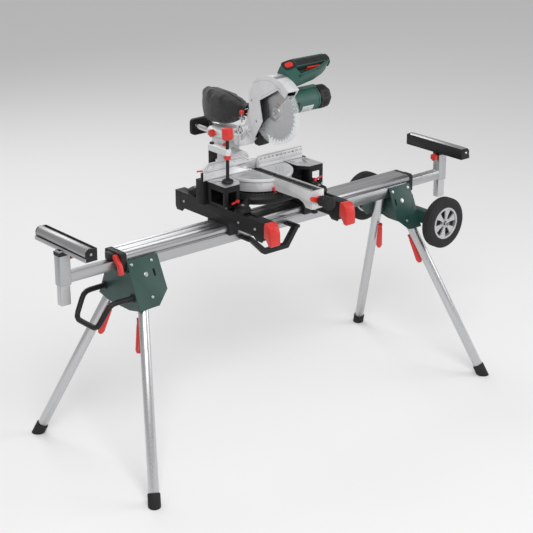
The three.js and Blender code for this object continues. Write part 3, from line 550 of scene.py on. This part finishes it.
def wheel(side, sy):
    """A tyre with grooves round it and a six-spoked hub, in place of the plain wheel."""
    face = sy * WHEEL_FACE
    inward = (0, -sy, 0)
    centre = (WHEEL_X, face, WHEEL_Z)
    grooves = []
    for i in range(5):
        start = 7 + i * 5.4
        grooves += [(TREAD_RADIUS, start), (TREAD_RADIUS, start + 4), (101, start + 4.5),
                    (101, start + 5)]
    profile = [(64, 3.5), (70, 1.5), (88, 0.5), (97, 2.5), *grooves,
               (TREAD_RADIUS, 34), (97, 37.5), (88, 39.5), (70, 38.5), (64, 36.5)]
    shapes = [closed_round(*turned(profile, centre, inward, 72), 72)]
    lugs = 54
    for i in range(lugs):
        a = 2 * pi * i / lugs
        spot = Vector((WHEEL_X + 102.6 * cos(a), face - sy * 8, WHEEL_Z + 102.6 * sin(a)))
        shapes.append(bar(spot, spot + Vector((0, -sy * 24, 0)), 1.35, 6))
    tyre = add_piece(f"tyre_{side}", shapes, rubber, f"wheel_{side}", place=stand)
    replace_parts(tyre, f"wheel_{side}")
    shapes = [ring(57, 65, 1.5, 38.5, centre, inward, 60),
              ring(8.5, 19, 2, 38, centre, inward, 32)]
    spoke = [(15, -5), (36, -9), (58, -16.5), (58, 16.5), (36, 9), (15, 5)]
    for i in range(6):
        flat = radial((WHEEL_X, WHEEL_Z), 2 * pi * i / 6 + 0.3, spoke)
        for near, far in ((5, 13), (27, 35)):
            shapes.append(prism("y", flat, *sorted((face - sy * near, face - sy * far))))
    hub = add_piece(f"hub_{side}", shapes, hub_paint, f"wheel_{side}", 0.8, stand)
    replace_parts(hub, f"wheel_{side}")
    disc = ring(18.5, 57.5, 15, 25, centre, inward, 48)
    web = add_piece(f"hub_web_{side}", [disc], black_plastic, f"wheel_{side}",
                    place=stand)
    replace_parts(web, f"wheel_{side}")
    cap = turned([(11, 0), (10.6, 1.6), (8, 2.6)], (WHEEL_X, sy * 252.4, WHEEL_Z), (0, sy, 0), 28)
    add_piece(f"axle_cap_{side}", [cap], bolt_metal, "stand", 0.3, stand)


def crossbar_trim(end, x):
    """Bolts and end seams on the sides, and grip ribs on the lever."""
    bolts = []
    for y in (-214, -120, 206):
        for sx in (-1, 1):
            bolts += hex_bolt((x + sx * 22.6, y, 850), (sx, 0, 0), 4.2, 4)
    body = f"crossbar_{end}"
    add_piece(f"crossbar_bolts_{end}", bolts, bolt_metal, body, 0.2, stand)
    seams = [box_shape((x - 22.65, y - 0.5, 822), (x + 22.65, y + 0.5, 883.6)) for y in (-228, 228)]
    add_piece(f"crossbar_seams_{end}", seams, seam_and_hole_shade, body, place=stand)
    ribs = []
    for i in range(5):
        z = 818 + i * 9
        y = -303.6 + max(0, z - 842) * 0.3
        ribs.append(bar((x - 15, y, z), (x + 15, y, z), 1.6, 10))
    add_piece(f"crossbar_lever_ribs_{end}", ribs, red_plastic, f"crossbar_lever_{end}",
              place=stand)


def sleeve_trim(end, sx):
    """The black collar at the top of the sleeve, and the screws of the roller's trough."""
    shapes = []
    for low, high in (((-23.2, -18.2), (23.2, -17.6)), ((-23.2, 17.6), (23.2, 18.2)),
                      ((-23.2, -17.6), (-22.6, 17.6)), ((22.6, -17.6), (23.2, 17.6))):
        shapes.append(box_shape((sx * SLEEVE_X + low[0], low[1], 856),
                                (sx * SLEEVE_X + high[0], high[1], 870.6)))
    add_piece(f"sleeve_band_{end}", shapes, black_plastic, f"extension_{end}",
              0.2, stand)
    screws = []
    for sy in (-1, 1):
        screws += hex_bolt((sx * 924, sy * 157, 897), (0, sy, 0), 4, 3.4)
        screws += hex_bolt((sx * 905, sy * 60, 877.1), UP, 2.6, 1.8)
    add_piece(f"trough_screws_{end}", screws, bolt_metal, f"support_{end}", 0.15,
              stand)


housing_bolts()
for side, sy in (("rear", 1), ("front", -1)):
    wheel(side, sy)
for end, x in (("left", -229), ("right", 141)):
    crossbar_trim(end, x)
for end, sx in ENDS:
    sleeve_trim(end, sx)


# ---------- saw: fine pieces
def both_faces(outline):
    """A thin line laid on either face of the blade."""
    return [prism("x", outline, -0.97, -0.86), prism("x", outline, 0.86, 0.97)]


def saw_blade():
    """A ground blade with forty tipped teeth, four curved relief slots drawn as painted shade, and
    its flange and nut.
    """
    centre = BLADE[1:]
    tooth = ((0, 107.2), (1.9, 106.4), (3.4, 103.2), (5.2, 98.6), (7.0, 97.6), (8.6, 100.2))
    outline = [polar(centre, radius, -360 * i / TEETH - turn)
               for i in range(TEETH) for turn, radius in tooth]
    disc = prism("x", outline[::-1], -0.9, 0.9)
    plate = add_piece("blade_plate", [disc], blade_metal, "blade")
    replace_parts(plate, "blade")
    tips = []
    for i in range(TEETH):
        quad = [(107.9, 0), (101.5, 0), (101.5, -1.6), (107.5, -2.2)]
        tips.append(prism("x", radial(centre, radians(360 * i / TEETH), quad), -1.2, 1.2))
    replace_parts(add_piece("blade_tips", tips, bolt_metal, "blade"), "blade")
    # The relief slots are thin dark lines on both faces: painted shade standing in for the cuts.
    slots = []
    for i in range(4):
        points = [polar(centre, 62 + step * 4, 90 * i + 5 * sin(step * 0.9))
                  for step in range(9)]
        slots += both_faces(strip(points, 0.7))
    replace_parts(add_piece("blade_slot_shade", slots, seam_and_hole_shade, "blade"), "blade")
    marks = []
    for first, last in ((100, 128), (168, 184), (282, 292)):
        marks += both_faces(band(centre, 38, 34.5, first, last, 8))
    head = [polar(centre, 41, 128), polar(centre, 31.5, 128), polar(centre, 36, 137)]
    marks.append(prism("x", head, -0.97, -0.86))
    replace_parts(add_piece("blade_marks", marks, print_red, "blade"), "blade")
    parts = [turned([(24, 0.9), (24, 4), (21, 5.4), (12, 6)], BLADE, LEFT, 40),
             turned([(9.2, 6), (9.2, 11.5), (7.6, 12.6)], BLADE, LEFT, 6),
             turned([(5, 12.6), (5, 13.6)], BLADE, LEFT, 20),
             turned([(24, 0.9), (24, 5), (8, 6), (8, 21)], BLADE, RIGHT, 40)]
    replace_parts(add_piece("blade_flange", parts, bolt_metal, "blade", 0.3), "blade")


def fence_scale():
    """The millimetre scale on the right fence, its top line, and the groove lines on the left,
    drawn in black as painted shade in the grooves.
    """
    def printed(outline):
        return prism("y", outline, -PRINT, 0)

    ticks, words = [], []
    for n in range(10, 226, 5):
        length = 13 if n % 10 == 0 else 8
        ticks.append(box_shape((n - 0.35, -PRINT, 12), (n + 0.35, 0, 12 + length)))
        if n % 20 == 0:
            words.append(lettering(str(n), 9.5, (n, -PRINT / 2, 33.5), RIGHT, UP, PRINT))
    top = [(12.5, 45.2), (226, 45.2), (229.4, 43.6), (229.4, 42.6), (225.8, 44.2), (13, 44.2)]
    left_edge = [(6, 2), (7.2, 2), (7.2, 38.5), (13.4, 44.6), (12.6, 45.2), (6, 39)]
    lines = [printed(top), printed(left_edge)]
    add_piece("fence_scale", ticks + words + lines, print_and_groove_shade, "saw")
    # Black lines along the left fence's grooves: painted shade in the grooves.
    low = strip([(-250, 31.5), (-110, 31.5), (-34, 5)], 1.2)
    low_line = strip([(-250, 3), (-30, 3)], 0.9)
    add_piece("lower_fence_groove_shade", [printed(low), printed(low_line)], print_and_groove_shade, "saw")
    up = strip([(-250, 38), (-250, 43), (-231, 60.5), (-73, 60.5), (-46, 46), (-40, 42)], 1.4)
    inner = strip([(-243, 38), (-228, 55.5), (-76, 55.5), (-60, 47)], 0.9)
    add_piece("upper_fence_groove_shade", [printed(up), printed(inner)], print_and_groove_shade, "upper_fence")
    cap = [box_shape((-262, 0.4, 2), (-255.2, 8.6, 33))]
    add_piece("fence_end_cap", cap, black_plastic, "saw", 0.8)
    lever = [bar((-258, 5, 40), (-266, 4, 42), 3.4, 14),
             bar((-264, 4, 42), (-284, 0, 45), 2.4, 12, 3.2)]
    add_piece("fence_lever", lever, red_plastic, "upper_fence")


def side_table(side, sx):
    """Zigzag grooves and an inlet ring drawn as black lines of painted shade, screws and the small
    lock lever of one side table.
    """
    body = f"table_extension_{side}"
    grooves = []
    # Black lines along the grooves and round the inlet: painted shade in them.
    for shift in (0, 9, 18):
        points = [(236, -16 - shift), (214 - shift * 0.3, -16 - shift), (196, -46 - shift * 1.2),
                  (152 + shift * 1.1, -46 - shift * 1.2)]
        grooves.append(prism("z", strip([(sx * x, y) for x, y in points], 2.1), 0, LINE))
    inlet = (sx * 160, -22, 0)
    grooves += [ring(8.2, 9.4, 0, LINE, inlet, UP, 32), ring(4, 4.8, 0, LINE, inlet, UP, 24)]
    add_piece(f"side_table_groove_shade_{side}", grooves, print_and_groove_shade, body)
    hub = Vector((-186, -108.2, -62) if sx < 0 else (196, -108.2, -56))
    tip = hub + Vector((-27, -5, -5) if sx < 0 else (33, -5, 7))
    lever = [bar(hub, hub + Vector((0, -9, 0)), 6.5, 20),
             bar(hub + Vector((0, -5, 0)), tip, 3, 12, 4.2)]
    add_piece(f"side_table_lever_{side}", lever, red_plastic, body, 0.4)
    screws = []
    for x in (176, 236):
        spot = (sx * x, -108, -79)
        screws += [turned([(3.4, 0), (3.4, 1.6)], spot, FORWARD, 6),
                   ring(3.4, 4.6, 0, 2, spot, FORWARD, 20)]
    add_piece(f"side_table_screws_{side}", screws, bolt_metal, body)


def table_trim():
    """Arcs of the turntable drawn as grey lines of painted shade in its grooves, its seam, pointer
    and scale, the arm's lines and the insert's screws.
    """
    # Grey lines along the turntable's arc grooves: painted shade in the grooves.
    arcs = []
    for radius in (76, 88, 100):
        for first, last in ((-62, -14), (194, 242)):
            line = strip(arc_points((0, 0), radius, first, last, 18), 1.1)
            arcs.append(prism("z", line, 0, LINE))
    add_piece("table_arc_groove_shade", arcs, grey_print_and_groove_shade, "turntable")
    seam = ring(TABLE_RADIUS, TABLE_RADIUS + 0.25, -15.2, -14.2, (0, 0, 0), UP, 72)
    add_piece("table_seam", [seam], seam_and_hole_shade, "turntable")
    pointer = [box_shape((-36, -143, -48), (-30, -132.4, -34)),
               prism("x", [(-143, -48), (-151, -52), (-143, -53)], -35, -31)]
    add_piece("mitre_pointer", pointer, red_plastic, "turntable", 0.5)
    ticks = []
    for degrees in range(-45, 46, 5):
        inner = 141 if degrees % 15 == 0 else 145
        tick = radial((0, 0), radians(degrees - 90), dash(inner, 151, 1))
        ticks.append(prism("z", tick, -53.9, -53.5))
    add_piece("mitre_scale", ticks, hub_paint, "saw")
    screws = [turned([(2.6, 0), (2.6, 0.35)], (sx * 12.5, y, -0.1), UP, 16)
              for y in (-325, -215, -105, 2) for sx in (-1, 1)]
    add_piece("insert_screws", screws, bolt_metal, "turntable")
    lines = [box_shape((sx * 23 - 0.5, -344, 0), (sx * 23 + 0.5, -120, 0.1)) for sx in (-1, 1)]
    add_piece("arm_lines", lines, grey_print_and_groove_shade, "turntable")
    thread = [turned([(5.5, 0), (5.5, 18)], (0, -327, -88), UP, 20)]
    add_piece("foot_screw", thread, bolt_metal, "turntable")


def mitre_grip():
    """The soft ribbed knob at the end of the arm."""
    profile = [(7, 0), (7, 13), (17, 14.5), (21, 18), (20.5, 22), (17.6, 27), (17.8, 33),
               (22, 41), (25.6, 50), (26, 58), (24, 67), (19, 74), (11, 77.4), (3, 78)]
    body = turned(profile, ARM_END, FORWARD, 96, 12, 2.2)
    grip = add_piece("mitre_grip", [body], rubber, "mitre_knob", angle=60)
    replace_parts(grip, "mitre_knob")
    end = [ring(6, 9, 76.5, 78.3, ARM_END, FORWARD, 32)]
    add_piece("mitre_grip_ring", end, black_plastic, "mitre_knob", 0.3)


def clamp_trim():
    """The square post, the red sleeve, the screw's thread and the ring of the pad."""
    post = [box_shape((-201, 17.5, 1), (-183, 38.5, 103.6))]
    add_piece("clamp_post", post, black_cast, "clamp_arm", 1.5)
    sleeve = [ring(7, 12.5, 88, 103.8, CLAMP_SCREW, UP, 32),
              box_shape((-197, -52, 89), (-187, -46, 102))]
    add_piece("clamp_sleeve", sleeve, red_plastic, "clamp_arm", 0.8)
    cap = [turned([(8.6, 0), (8.6, 5), (6.5, 7)], (-192, 28, 127.8), UP, 28)]
    add_piece("clamp_post_cap", cap, black_plastic, "clamp_arm", 0.4)
    profile = [turn for z in range(16, 160, 2) for turn in ((6.05, z), (6.5, z + 1))]
    thread = turned(profile, CLAMP_SCREW, UP, 20)
    add_piece("clamp_thread", [thread], black_plastic, "clamp_spindle", angle=60)
    edge = ring(21, 22.2, 3.6, 4.4, CLAMP_SCREW, UP, 40)
    add_piece("clamp_pad_ring", [edge], black_coat, "clamp_spindle")


def guard_trim():
    """Lining and chute, the rim's stripe and lip, painted shade along creases, screws, arm ribs and
    depth stop.
    """
    centre = BLADE[1:]
    back = [(-18.5, 129), (-6.6, 152), (4.6, 196), (10.6, 250), (10.6, 294), (-17, 337),
            (-41.6, 357.6)]
    front = [(-41.2, 356.6), (-16, 336.4), (9.4, 294), (9.4, 250), (3.4, 196), (-7.8, 152.6),
             (-19.6, 129.6)]
    lining = back + band(centre, 135.2, 134.2, 72, 131, 12) + front
    add_piece("guard_lining", [prism("x", lining, -21.8, 21.8)], black_plastic, "head")
    inside = back + arc_points(centre, 134, 72, 131, 12) + [(-186, 312)]
    inside += arc_points(centre, 45, 150, 290, 8)
    add_piece("guard_inside", [prism("x", inside, 20.9, 21.8)], black_plastic, "head")
    chute = arc_points(centre, 122, -62, -42, 6)
    chute += [(-18, 124), (-3, 112), (-8, 100), (-30, 98), (-56, 110)]
    add_piece("chip_chute", [prism("x", chute, -15, 15)], black_plastic, "head",
              1.5)
    stripe = prism("x", band(centre, 140.35, 139.8, 96, 104, 4), -26.2, 26.2)
    add_piece("guard_stripe", [stripe], stripe_and_crease_shade, "head")
    lip = prism("x", band(centre, 140.5, 132.5, 131.5, 134.5, 2), -26.6, 26.6)
    add_piece("guard_lip", [lip], casting, "head", 0.8)
    # Dark silver lines along the casting's creases: painted shade in the creases.
    creases = [strip([(-12, 338), (-60, 358), (-110, 362), (-168, 340)], 0.9),
               strip([(-186, 322), (-150, 345), (-52, 290)], 0.8)]
    creases = [prism("x", line, -26.25, -25.9) for line in creases]
    add_piece("guard_crease_shade", creases, stripe_and_crease_shade, "head")
    screws = []
    for sx, y, z in ((-1, -2, 270), (-1, -30, 196), (1, -20, 300), (1, -14, 210)):
        screws += hex_bolt((sx * 26, y, z), (sx, 0, 0), 3.6, 3)
    add_piece("guard_screws", screws, bolt_metal, "head", 0.2)
    ribs = []
    for i in range(6):
        spot = Vector((-22.2, 24 - i * 4.6, 232 - i * 16))
        ribs.append(bar(spot, spot + Vector((0, 16, -6)), 1.5, 8))
    add_piece("arm_ribs", ribs, casting, "head")
    knob = turned([(8.5, 0), (9.5, 3), (9.5, 12), (7.5, 15)], (-33, 47, 208), UP, 40, 8, 1.6)
    add_piece("depth_stop_knob", [knob], red_plastic, "head", 0.3)
    screw = [bar((-33, 47, 176), (-33, 47, 208.5), 3, 16),
             box_shape((-39, 39, 186), (-22, 53, 197))]
    add_piece("depth_stop_screw", screw, bolt_metal, "head", 0.5)


def pivot_trim():
    """The spoked cap with painted shade behind its spokes, the link and the nut at the head's
    pivot.
    """
    cap, nut = (-41.2, *HEAD_PIVOT), (41.2, *HEAD_PIVOT)
    shapes = [ring(15, 19.5, 0, 8, cap, LEFT, 40), ring(3, 7, 0, 8, cap, LEFT, 24)]
    for i in range(5):
        spoke = radial(HEAD_PIVOT, 2 * pi * i / 5 + 0.4, dash(5, 16.5, 2.8))
        shapes.append(prism("x", spoke, -48, -42))
    link = [(30, 138), (46, 138), (44, 96), (34, 96)]
    shapes.append(prism("x", link, -52, -50.2))
    shapes += [prism("x", [(32, 136), (36, 136), (37, 98), (34, 98)], -56, -52),
               prism("x", [(41, 136), (45, 136), (43.6, 98), (41, 98)], -56, -52)]
    shapes += [box_shape((-56, 35, z), (-52, 43, z + 2.5)) for z in (104, 116, 128)]
    add_piece("pivot_cap", shapes, casting, "slide", 0.5)
    # A dark disc behind the spokes: painted shade in the cap's recess.
    back = [turned([(15, 0), (15, 1.5)], cap, LEFT, 40)]
    add_piece("pivot_cap_back_shade", back, seam_and_hole_shade, "slide")
    add_piece("pivot_nut", hex_bolt(nut, RIGHT, 8, 7), bolt_metal, "slide", 0.3)


def bracket_trim():
    """Black rail seals, red tilt stops, the angle pointer's bolt, casting ribs and tilt scale."""
    seals = [ring(10.8, 19, low, high, (x, y, RAIL_Z), BACKWARD, 36)
             for y, low, high in ((136, -6, 0), (230, 0, 2.4)) for x in (-RAIL_X, RAIL_X)]
    add_piece("rail_seals", seals, black_plastic, "tilt_bracket", 0.8)
    stops = [prism("y", [(-58, 78), (-30, 84), (-34, 66), (-56, 62)], 128, 135.7),
             prism("y", [(36, 66), (40, 84), (62, 76), (58, 62)], 128, 135.7)]
    add_piece("tilt_stops", stops, red_plastic, "tilt_bracket", 1.0)
    pads = [box_shape((-58, 135.5, 60), (-30, 139, 92)), box_shape((36, 135.5, 60), (62, 139, 92)),
            box_shape((-30, 135.6, 74), (36, 139, 90))]
    add_piece("tilt_stop_pads", pads, casting, "tilt_bracket", 1.0)
    bolt = (8, 135.6, 82)
    washer = ring(4.5, 8, 0, 6, bolt, FORWARD, 28)
    add_piece("tilt_bolt_ring", [washer], bolt_metal, "tilt_bracket", 0.4)
    core = turned([(4.5, 0), (4.5, 7.4), (3, 8.4)], bolt, FORWARD, 20)
    add_piece("tilt_bolt", [core], red_plastic, "tilt_bracket", 0.3)
    rib = [(205, -6), (216, 60), (226, 82), (205, 82)]
    ribs = [prism("x", rib, x - 2, x + 2) for x in (-26, 0, 26)]
    add_piece("bracket_ribs", ribs, casting, "tilt_bracket", 0.8)
    ticks = []
    for degrees in range(0, 50, 5):
        inner = 34 if degrees % 15 == 0 else 37
        tick = radial((0, TILT_Z), radians(90 + degrees), dash(inner, 41, 0.7))
        ticks.append(prism("y", tick, 139.05, 139.25))
    add_piece("tilt_scale", ticks, print_and_groove_shade, "tilt_bracket")


def motor_trim():
    """The eight-sided end cap, vent slots drawn as dark bars of painted shade, seams, a blank
    rating plate and the brush cap.
    """
    axis = (0, *MOTOR)
    cap = turned([(44, 190), (46.5, 193), (46.5, 226), (40, 240.5), (33, 241.5)], axis, RIGHT, 8)
    add_piece("motor_end_cap", [cap], black_plastic, "head", 1.6)
    # Dark bars in the vent slots: painted shade in the openings.
    vents = []
    for i in range(8):
        for y, z in radial(MOTOR, radians(22.5 + i * 45), [(43.1, t) for t in (-7, 0, 7)]):
            vents.append(bar((202, y, z), (222, y, z), 1.2, 8))
    add_piece("motor_vent_shade", vents, seam_and_hole_shade, "head")
    seams = [ring(42.9, 43.5, 176, 177.4, axis, RIGHT, 48), ring(48, 48.3, 30, 31, axis, RIGHT, 48)]
    add_piece("motor_seams", seams, seam_and_hole_shade, "head")
    plate = prism("x", band(MOTOR, 44.3, 43.6, 196, 246, 14), 96, 150)
    add_piece("rating_plate", [plate], label, "head")
    lines = []
    for i, a in enumerate((204, 212, 220, 228, 236)):
        line = band(MOTOR, 44.4, 44.2, a, a + 1.6, 2)
        lines.append(prism("x", line, 101, 145 - (i % 2) * 12))
    add_piece("rating_lines", lines, grey_print_and_groove_shade, "head")
    brush = prism("x", band(MOTOR, 45.6, 42, 170, 196, 8), 62, 78)
    add_piece("brush_cap", [brush], black_plastic, "head", 0.8)


def on_handle(x, v, w):
    """A point on the tilted handle: along the grip, across it, and square to its loop."""
    a = radians(HANDLE_TILT)
    return saw(x, HANDLE_Y + v * cos(a) - w * sin(a),
               HANDLE_Z + v * sin(a) + w * cos(a))


def on_button(x, v, z):
    """A point on the sloping seat of the lock button."""
    a = radians(BUTTON_SLOPE)
    return on_handle(BUTTON_X + x * cos(a) - z * sin(a), v,
                     BUTTON_RISE + x * sin(a) + z * cos(a))


def oval(half_x, half_y, power):
    """A rounded rectangle as a superellipse; a higher power is squarer."""
    steps = 48
    points = []
    for i in range(steps):
        a = 2 * pi * i / steps
        c, t = cos(a), sin(a)
        points.append((half_x * copysign(abs(c) ** (2 / power), c),
                       half_y * copysign(abs(t) ** (2 / power), t)))
    return points


def frame_shape(outer, inner, low, high):
    """A flat ring between two outlines with the same number of points."""
    count = len(outer)
    loops = [[(*p, low) for p in outer], [(*p, high) for p in outer],
             [(*p, high) for p in inner], [(*p, low) for p in inner]]
    faces = []
    for level in range(4):
        for i in range(count):
            j = (i + 1) % count
            a, b = level * count, (level + 1) % 4 * count
            faces.append((a + i, a + j, b + j, b + i))
    return sum(loops, []), faces


def handle_trim():
    """The soft grip, the button's frame and ridges, screw holes drawn as painted shade, the red
    badge and a bead.
    """
    def half_sleeve(low, high, radius):
        return prism("x", band((0, 1), radius, 20.4, -8, 188, 28), low, high)

    sleeves = [half_sleeve(86, 247, 21.3)]
    for low, high in ((86, 136), (138, 174), (176, 212), (214, 246)):
        sleeves.append(half_sleeve(low, high, 22.3))
    add_piece("grip_cover", sleeves, rubber, "head", 0.6, on_handle)
    rim = frame_shape(oval(26.5, 21.5, 4), oval(18.4, 12.4, 3), -1.5, 2.2)
    add_piece("button_frame", [rim], rubber, "head", 0.8, on_button)
    end = prism("x", [(-22, -12), (10, -12), (21, 4), (17, 17), (-8, 20), (-22, 8)], 244, 250.6)
    add_piece("grip_end", [end], rubber, "head", 1.5, on_handle)
    # Dark discs at the screw holes: painted shade in the holes.
    holes = []
    angle = radians(153)
    out = (0, cos(angle), sin(angle))
    for x in (121, 171, 222):
        spot = (x, 21.9 * out[1], 1 + 21.9 * out[2])
        holes.append(turned([(3.6, 0), (3.6, 0.6)], spot, out, 20))
    for x, v in ((60, -68), (160, -50), (230, -18)):
        holes.append(turned([(3.2, 0), (3.2, 0.4)], (x, v, 17), UP, 20))
    add_piece("handle_screw_hole_shade", holes, seam_and_hole_shade, "head", place=on_handle)
    badge = [prism("y", [(250.2, -4), (252.6, -2), (252.6, 10), (250.2, 12)], -8, 8)]
    add_piece("handle_end_badge", badge, red_plastic, "head", 0.6, on_handle)
    ridges = [bar((x, -8, 4), (x, 8, 4), 1.0, 8) for x in (-12, -8, -4, 0, 4, 8, 12)]
    add_piece("lock_button_ridges", ridges, red_plastic, "lock_button",
              place=on_button)
    bead = prism("z", [(64, -60), (150, -45.4), (200, -29.8), (224, -20), (226, -23),
                       (202, -34.4), (152, -50.4), (66, -65)], 17, 18.2)
    add_piece("handle_bead", [bead], green_plastic, "head", 0.5, on_handle)


def base_trim():
    """Bolts on the foot casting, and the end plate of the slide with its screws."""
    bolts = []
    for sx in (-1, 1):
        for x, y in ((188, -144), (182, 142)):
            bolts += hex_bolt((sx * x, y, -69.8), UP, 5.5, 5)
    add_piece("base_bolts", bolts, bolt_metal, "saw", 0.3)
    face = [prism("y", [(-50, 78), (50, 78), (50, 126), (-50, 126)], 336, 337.2)]
    add_piece("slide_end_plate", face, black_plastic, "slide", 0.4)
    screws = []
    for x in (-RAIL_X, RAIL_X):
        screws += hex_bolt((x, 337, 104), BACKWARD, 5, 4)
    add_piece("slide_end_screws", screws, bolt_metal, "slide", 0.2)


saw_blade()
fence_scale()
for side, sx in ENDS:
    side_table(side, sx)
table_trim()
mitre_grip()
clamp_trim()
guard_trim()
pivot_trim()
bracket_trim()
motor_trim()
handle_trim()
base_trim()


# ---------- dust bag
def dust_bag():
    """The cloth bag: the closed solid, remeshed, blown up as cloth, creased, seamed and piped."""
    low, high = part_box("dust_bag")
    bag = new_object("bag", nodes["dust_bag"].data.copy())
    middle = (Vector(low) + Vector(high)) / 2
    for vertex in bag.data.vertices:
        vertex.co = middle + (vertex.co - middle) * 0.95
    remesh = bag.modifiers.new("remesh", "REMESH")
    remesh.mode = "VOXEL"
    remesh.voxel_size = 0.0055
    apply_modifiers(bag)
    billow(bag, [v.co.copy() for v in bag.data.vertices], 0.010)
    smooth = bag.modifiers.new("smooth", "SMOOTH")
    smooth.factor = 0.5
    smooth.iterations = 5
    subdivision = bag.modifiers.new("subdivision", "SUBSURF")
    subdivision.levels = 1
    subdivision.render_levels = 1
    apply_modifiers(bag)
    crease(bag)
    keep_inside(bag, (low, high))
    bag.data.materials.clear()
    bag.data.materials.append(cloth)
    bag.data.polygons.foreach_set("use_smooth", [True] * len(bag.data.polygons))
    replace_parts(bag, "dust_bag")
    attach(bag, "head")
    pipe_seam(bag, low, high)


def crease(bag):
    """Soft folds that run from the neck to the far corners, and puckers beside the rear seam."""
    bag.data.update()
    neck = saw(*BAG_NECK)
    moves = []
    for vertex in bag.data.vertices:
        away = vertex.co - neck
        around = atan2(away.z, away.y)
        reach = min(1.0, away.length / 0.22)
        fold = noise.noise(Vector((around * 9, away.x * 24, away.length * 5)))
        pucker = noise.noise(vertex.co * 55) * reach
        moves.append(vertex.normal * (0.0026 * fold * reach + 0.0011 * pucker))
    for vertex, move in zip(bag.data.vertices, moves):
        vertex.co += move


def pipe_seam(bag, low, high):
    """A piped seam round the bag's middle plane, laid on its surface."""
    tree = BVHTree.FromPolygons([v.co for v in bag.data.vertices],
                                [p.vertices for p in bag.data.polygons])
    x = (low[0] + high[0]) / 2
    far = high[1] - low[1]
    top, bottom, rear = [], [], []

    def on_surface(start, direction):
        place, normal = tree.ray_cast(Vector(start), Vector(direction))[:2]
        return None if place is None else place + normal * 0.0008

    for i in range(41):
        y = low[1] + far * (0.10 + 0.84 * i / 40)
        top.append(on_surface((x, y, high[2] + 1), (0, 0, -1)))
        bottom.append(on_surface((x, y, low[2] - 1), (0, 0, 1)))
    for i in range(15):
        z = low[2] + (high[2] - low[2]) * (0.12 + 0.76 * i / 14)
        rear.append(on_surface((x, high[1] + 1, z), (0, -1, 0)))
    line = [p for p in top + rear[::-1] + bottom[::-1] if p is not None]
    curve = bpy.data.curves.new("bag_seam", "CURVE")
    curve.dimensions = "3D"
    curve.bevel_depth = 0.0019
    curve.bevel_resolution = 3
    spline = curve.splines.new("POLY")
    spline.points.add(len(line) - 1)
    for point, place in zip(spline.points, line):
        point.co = (*place, 1)
    holder = new_object("bag_seam_line", curve)
    depsgraph = bpy.context.evaluated_depsgraph_get()
    mesh = bpy.data.meshes.new_from_object(holder.evaluated_get(depsgraph))
    bpy.data.objects.remove(holder)
    mesh.materials.clear()
    mesh.materials.append(piping)
    seam = new_object("bag_seam", mesh)
    keep_inside(seam, (low, high))
    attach(seam, "head")


def apply_modifiers(obj):
    """Makes the shape that the modifiers give the object's own mesh."""
    depsgraph = bpy.context.evaluated_depsgraph_get()
    fresh = bpy.data.meshes.new_from_object(obj.evaluated_get(depsgraph))
    obj.modifiers.clear()
    obj.data = fresh


def billow(obj, rest, cap):
    """Runs the cloth under pressure, and lets no point move further than the cap."""
    cloth_mod = obj.modifiers.new("cloth", "CLOTH")
    settings = cloth_mod.settings
    settings.use_pressure = True
    settings.uniform_pressure_force = 4
    settings.effector_weights.gravity = 0
    settings.quality = 5
    scene = bpy.context.scene
    for number in range(1, 21):
        scene.frame_set(number)
    apply_modifiers(obj)
    scene.frame_set(1)
    for vertex, start in zip(obj.data.vertices, rest):
        move = vertex.co - start
        if move.length > cap:
            vertex.co = start + move * (cap / move.length)


def keep_inside(obj, limits):
    """Holds every point inside the CAD solid's box."""
    low, high = limits
    for vertex in obj.data.vertices:
        for axis in range(3):
            vertex.co[axis] = min(max(vertex.co[axis], low[axis]), high[axis])


dust_bag()
collar = [ring(17.4, outer, low, high, (0, 0, BAG_NECK[2]), BACKWARD, 36)
          for outer, low, high in ((25, 40, 64), (21, 24, 40))]
add_piece("bag_collar", collar, black_plastic, "head", 1.2)


# ---------- stage, lights and camera
def stage_floor():
    """A wide, pale floor that isn't part of the object."""
    bpy.ops.mesh.primitive_plane_add(size=60, location=(0, 0, 0))
    floor = bpy.context.object
    floor.name = "floor"
    floor.data.materials.append(new_material("floor", (0.86, 0.86, 0.86), 0.9))


def area_light(name, place, aim, size, power):
    """A square soft light that points at a place."""
    data = bpy.data.lights.new(name, "AREA")
    data.energy = power
    data.size = size
    light = new_object(name, data)
    light.location = place
    along = Vector(aim) - Vector(place)
    light.rotation_euler = along.to_track_quat("-Z", "Y").to_euler()


def world_light(strength):
    """An even white light from all round."""
    world = bpy.data.worlds.new("studio")
    bpy.context.scene.world = world
    world.use_nodes = True
    put(world.node_tree.nodes["Background"], Color=(1, 1, 1, 1), Strength=strength)


def place_camera(aim, distance, azimuth, elevation, lens):
    """Azimuth 0 looks along +Y with +X to the right, and elevation is above the horizon."""
    az, el = radians(azimuth), radians(elevation)
    back = Vector((sin(az) * cos(el), -cos(az) * cos(el), sin(el)))
    data = bpy.data.cameras.new("camera")
    data.lens = lens
    data.sensor_width = 36
    data.clip_end = 100
    camera = new_object("camera", data)
    camera.location = Vector(aim) + back * distance
    camera.rotation_euler = (-back).to_track_quat("-Z", "Y").to_euler()
    bpy.context.scene.camera = camera


stage_floor()
world_light(0.5)
area_light("key", (-2.2, -3.2, 4.2), (0, 0, 0.8), 2.4, 145)
area_light("fill", (3.5, -2.6, 2.4), (0, 0, 0.8), 3.0, 55)
area_light("back", (0.5, 3.6, 3.6), (0, 0, 0.9), 3.0, 60)
place_camera((-0.015, 0.0, 0.585), 5.9, -40.4, 20.8, 103)
bpy.context.scene.view_settings.view_transform = "Standard"
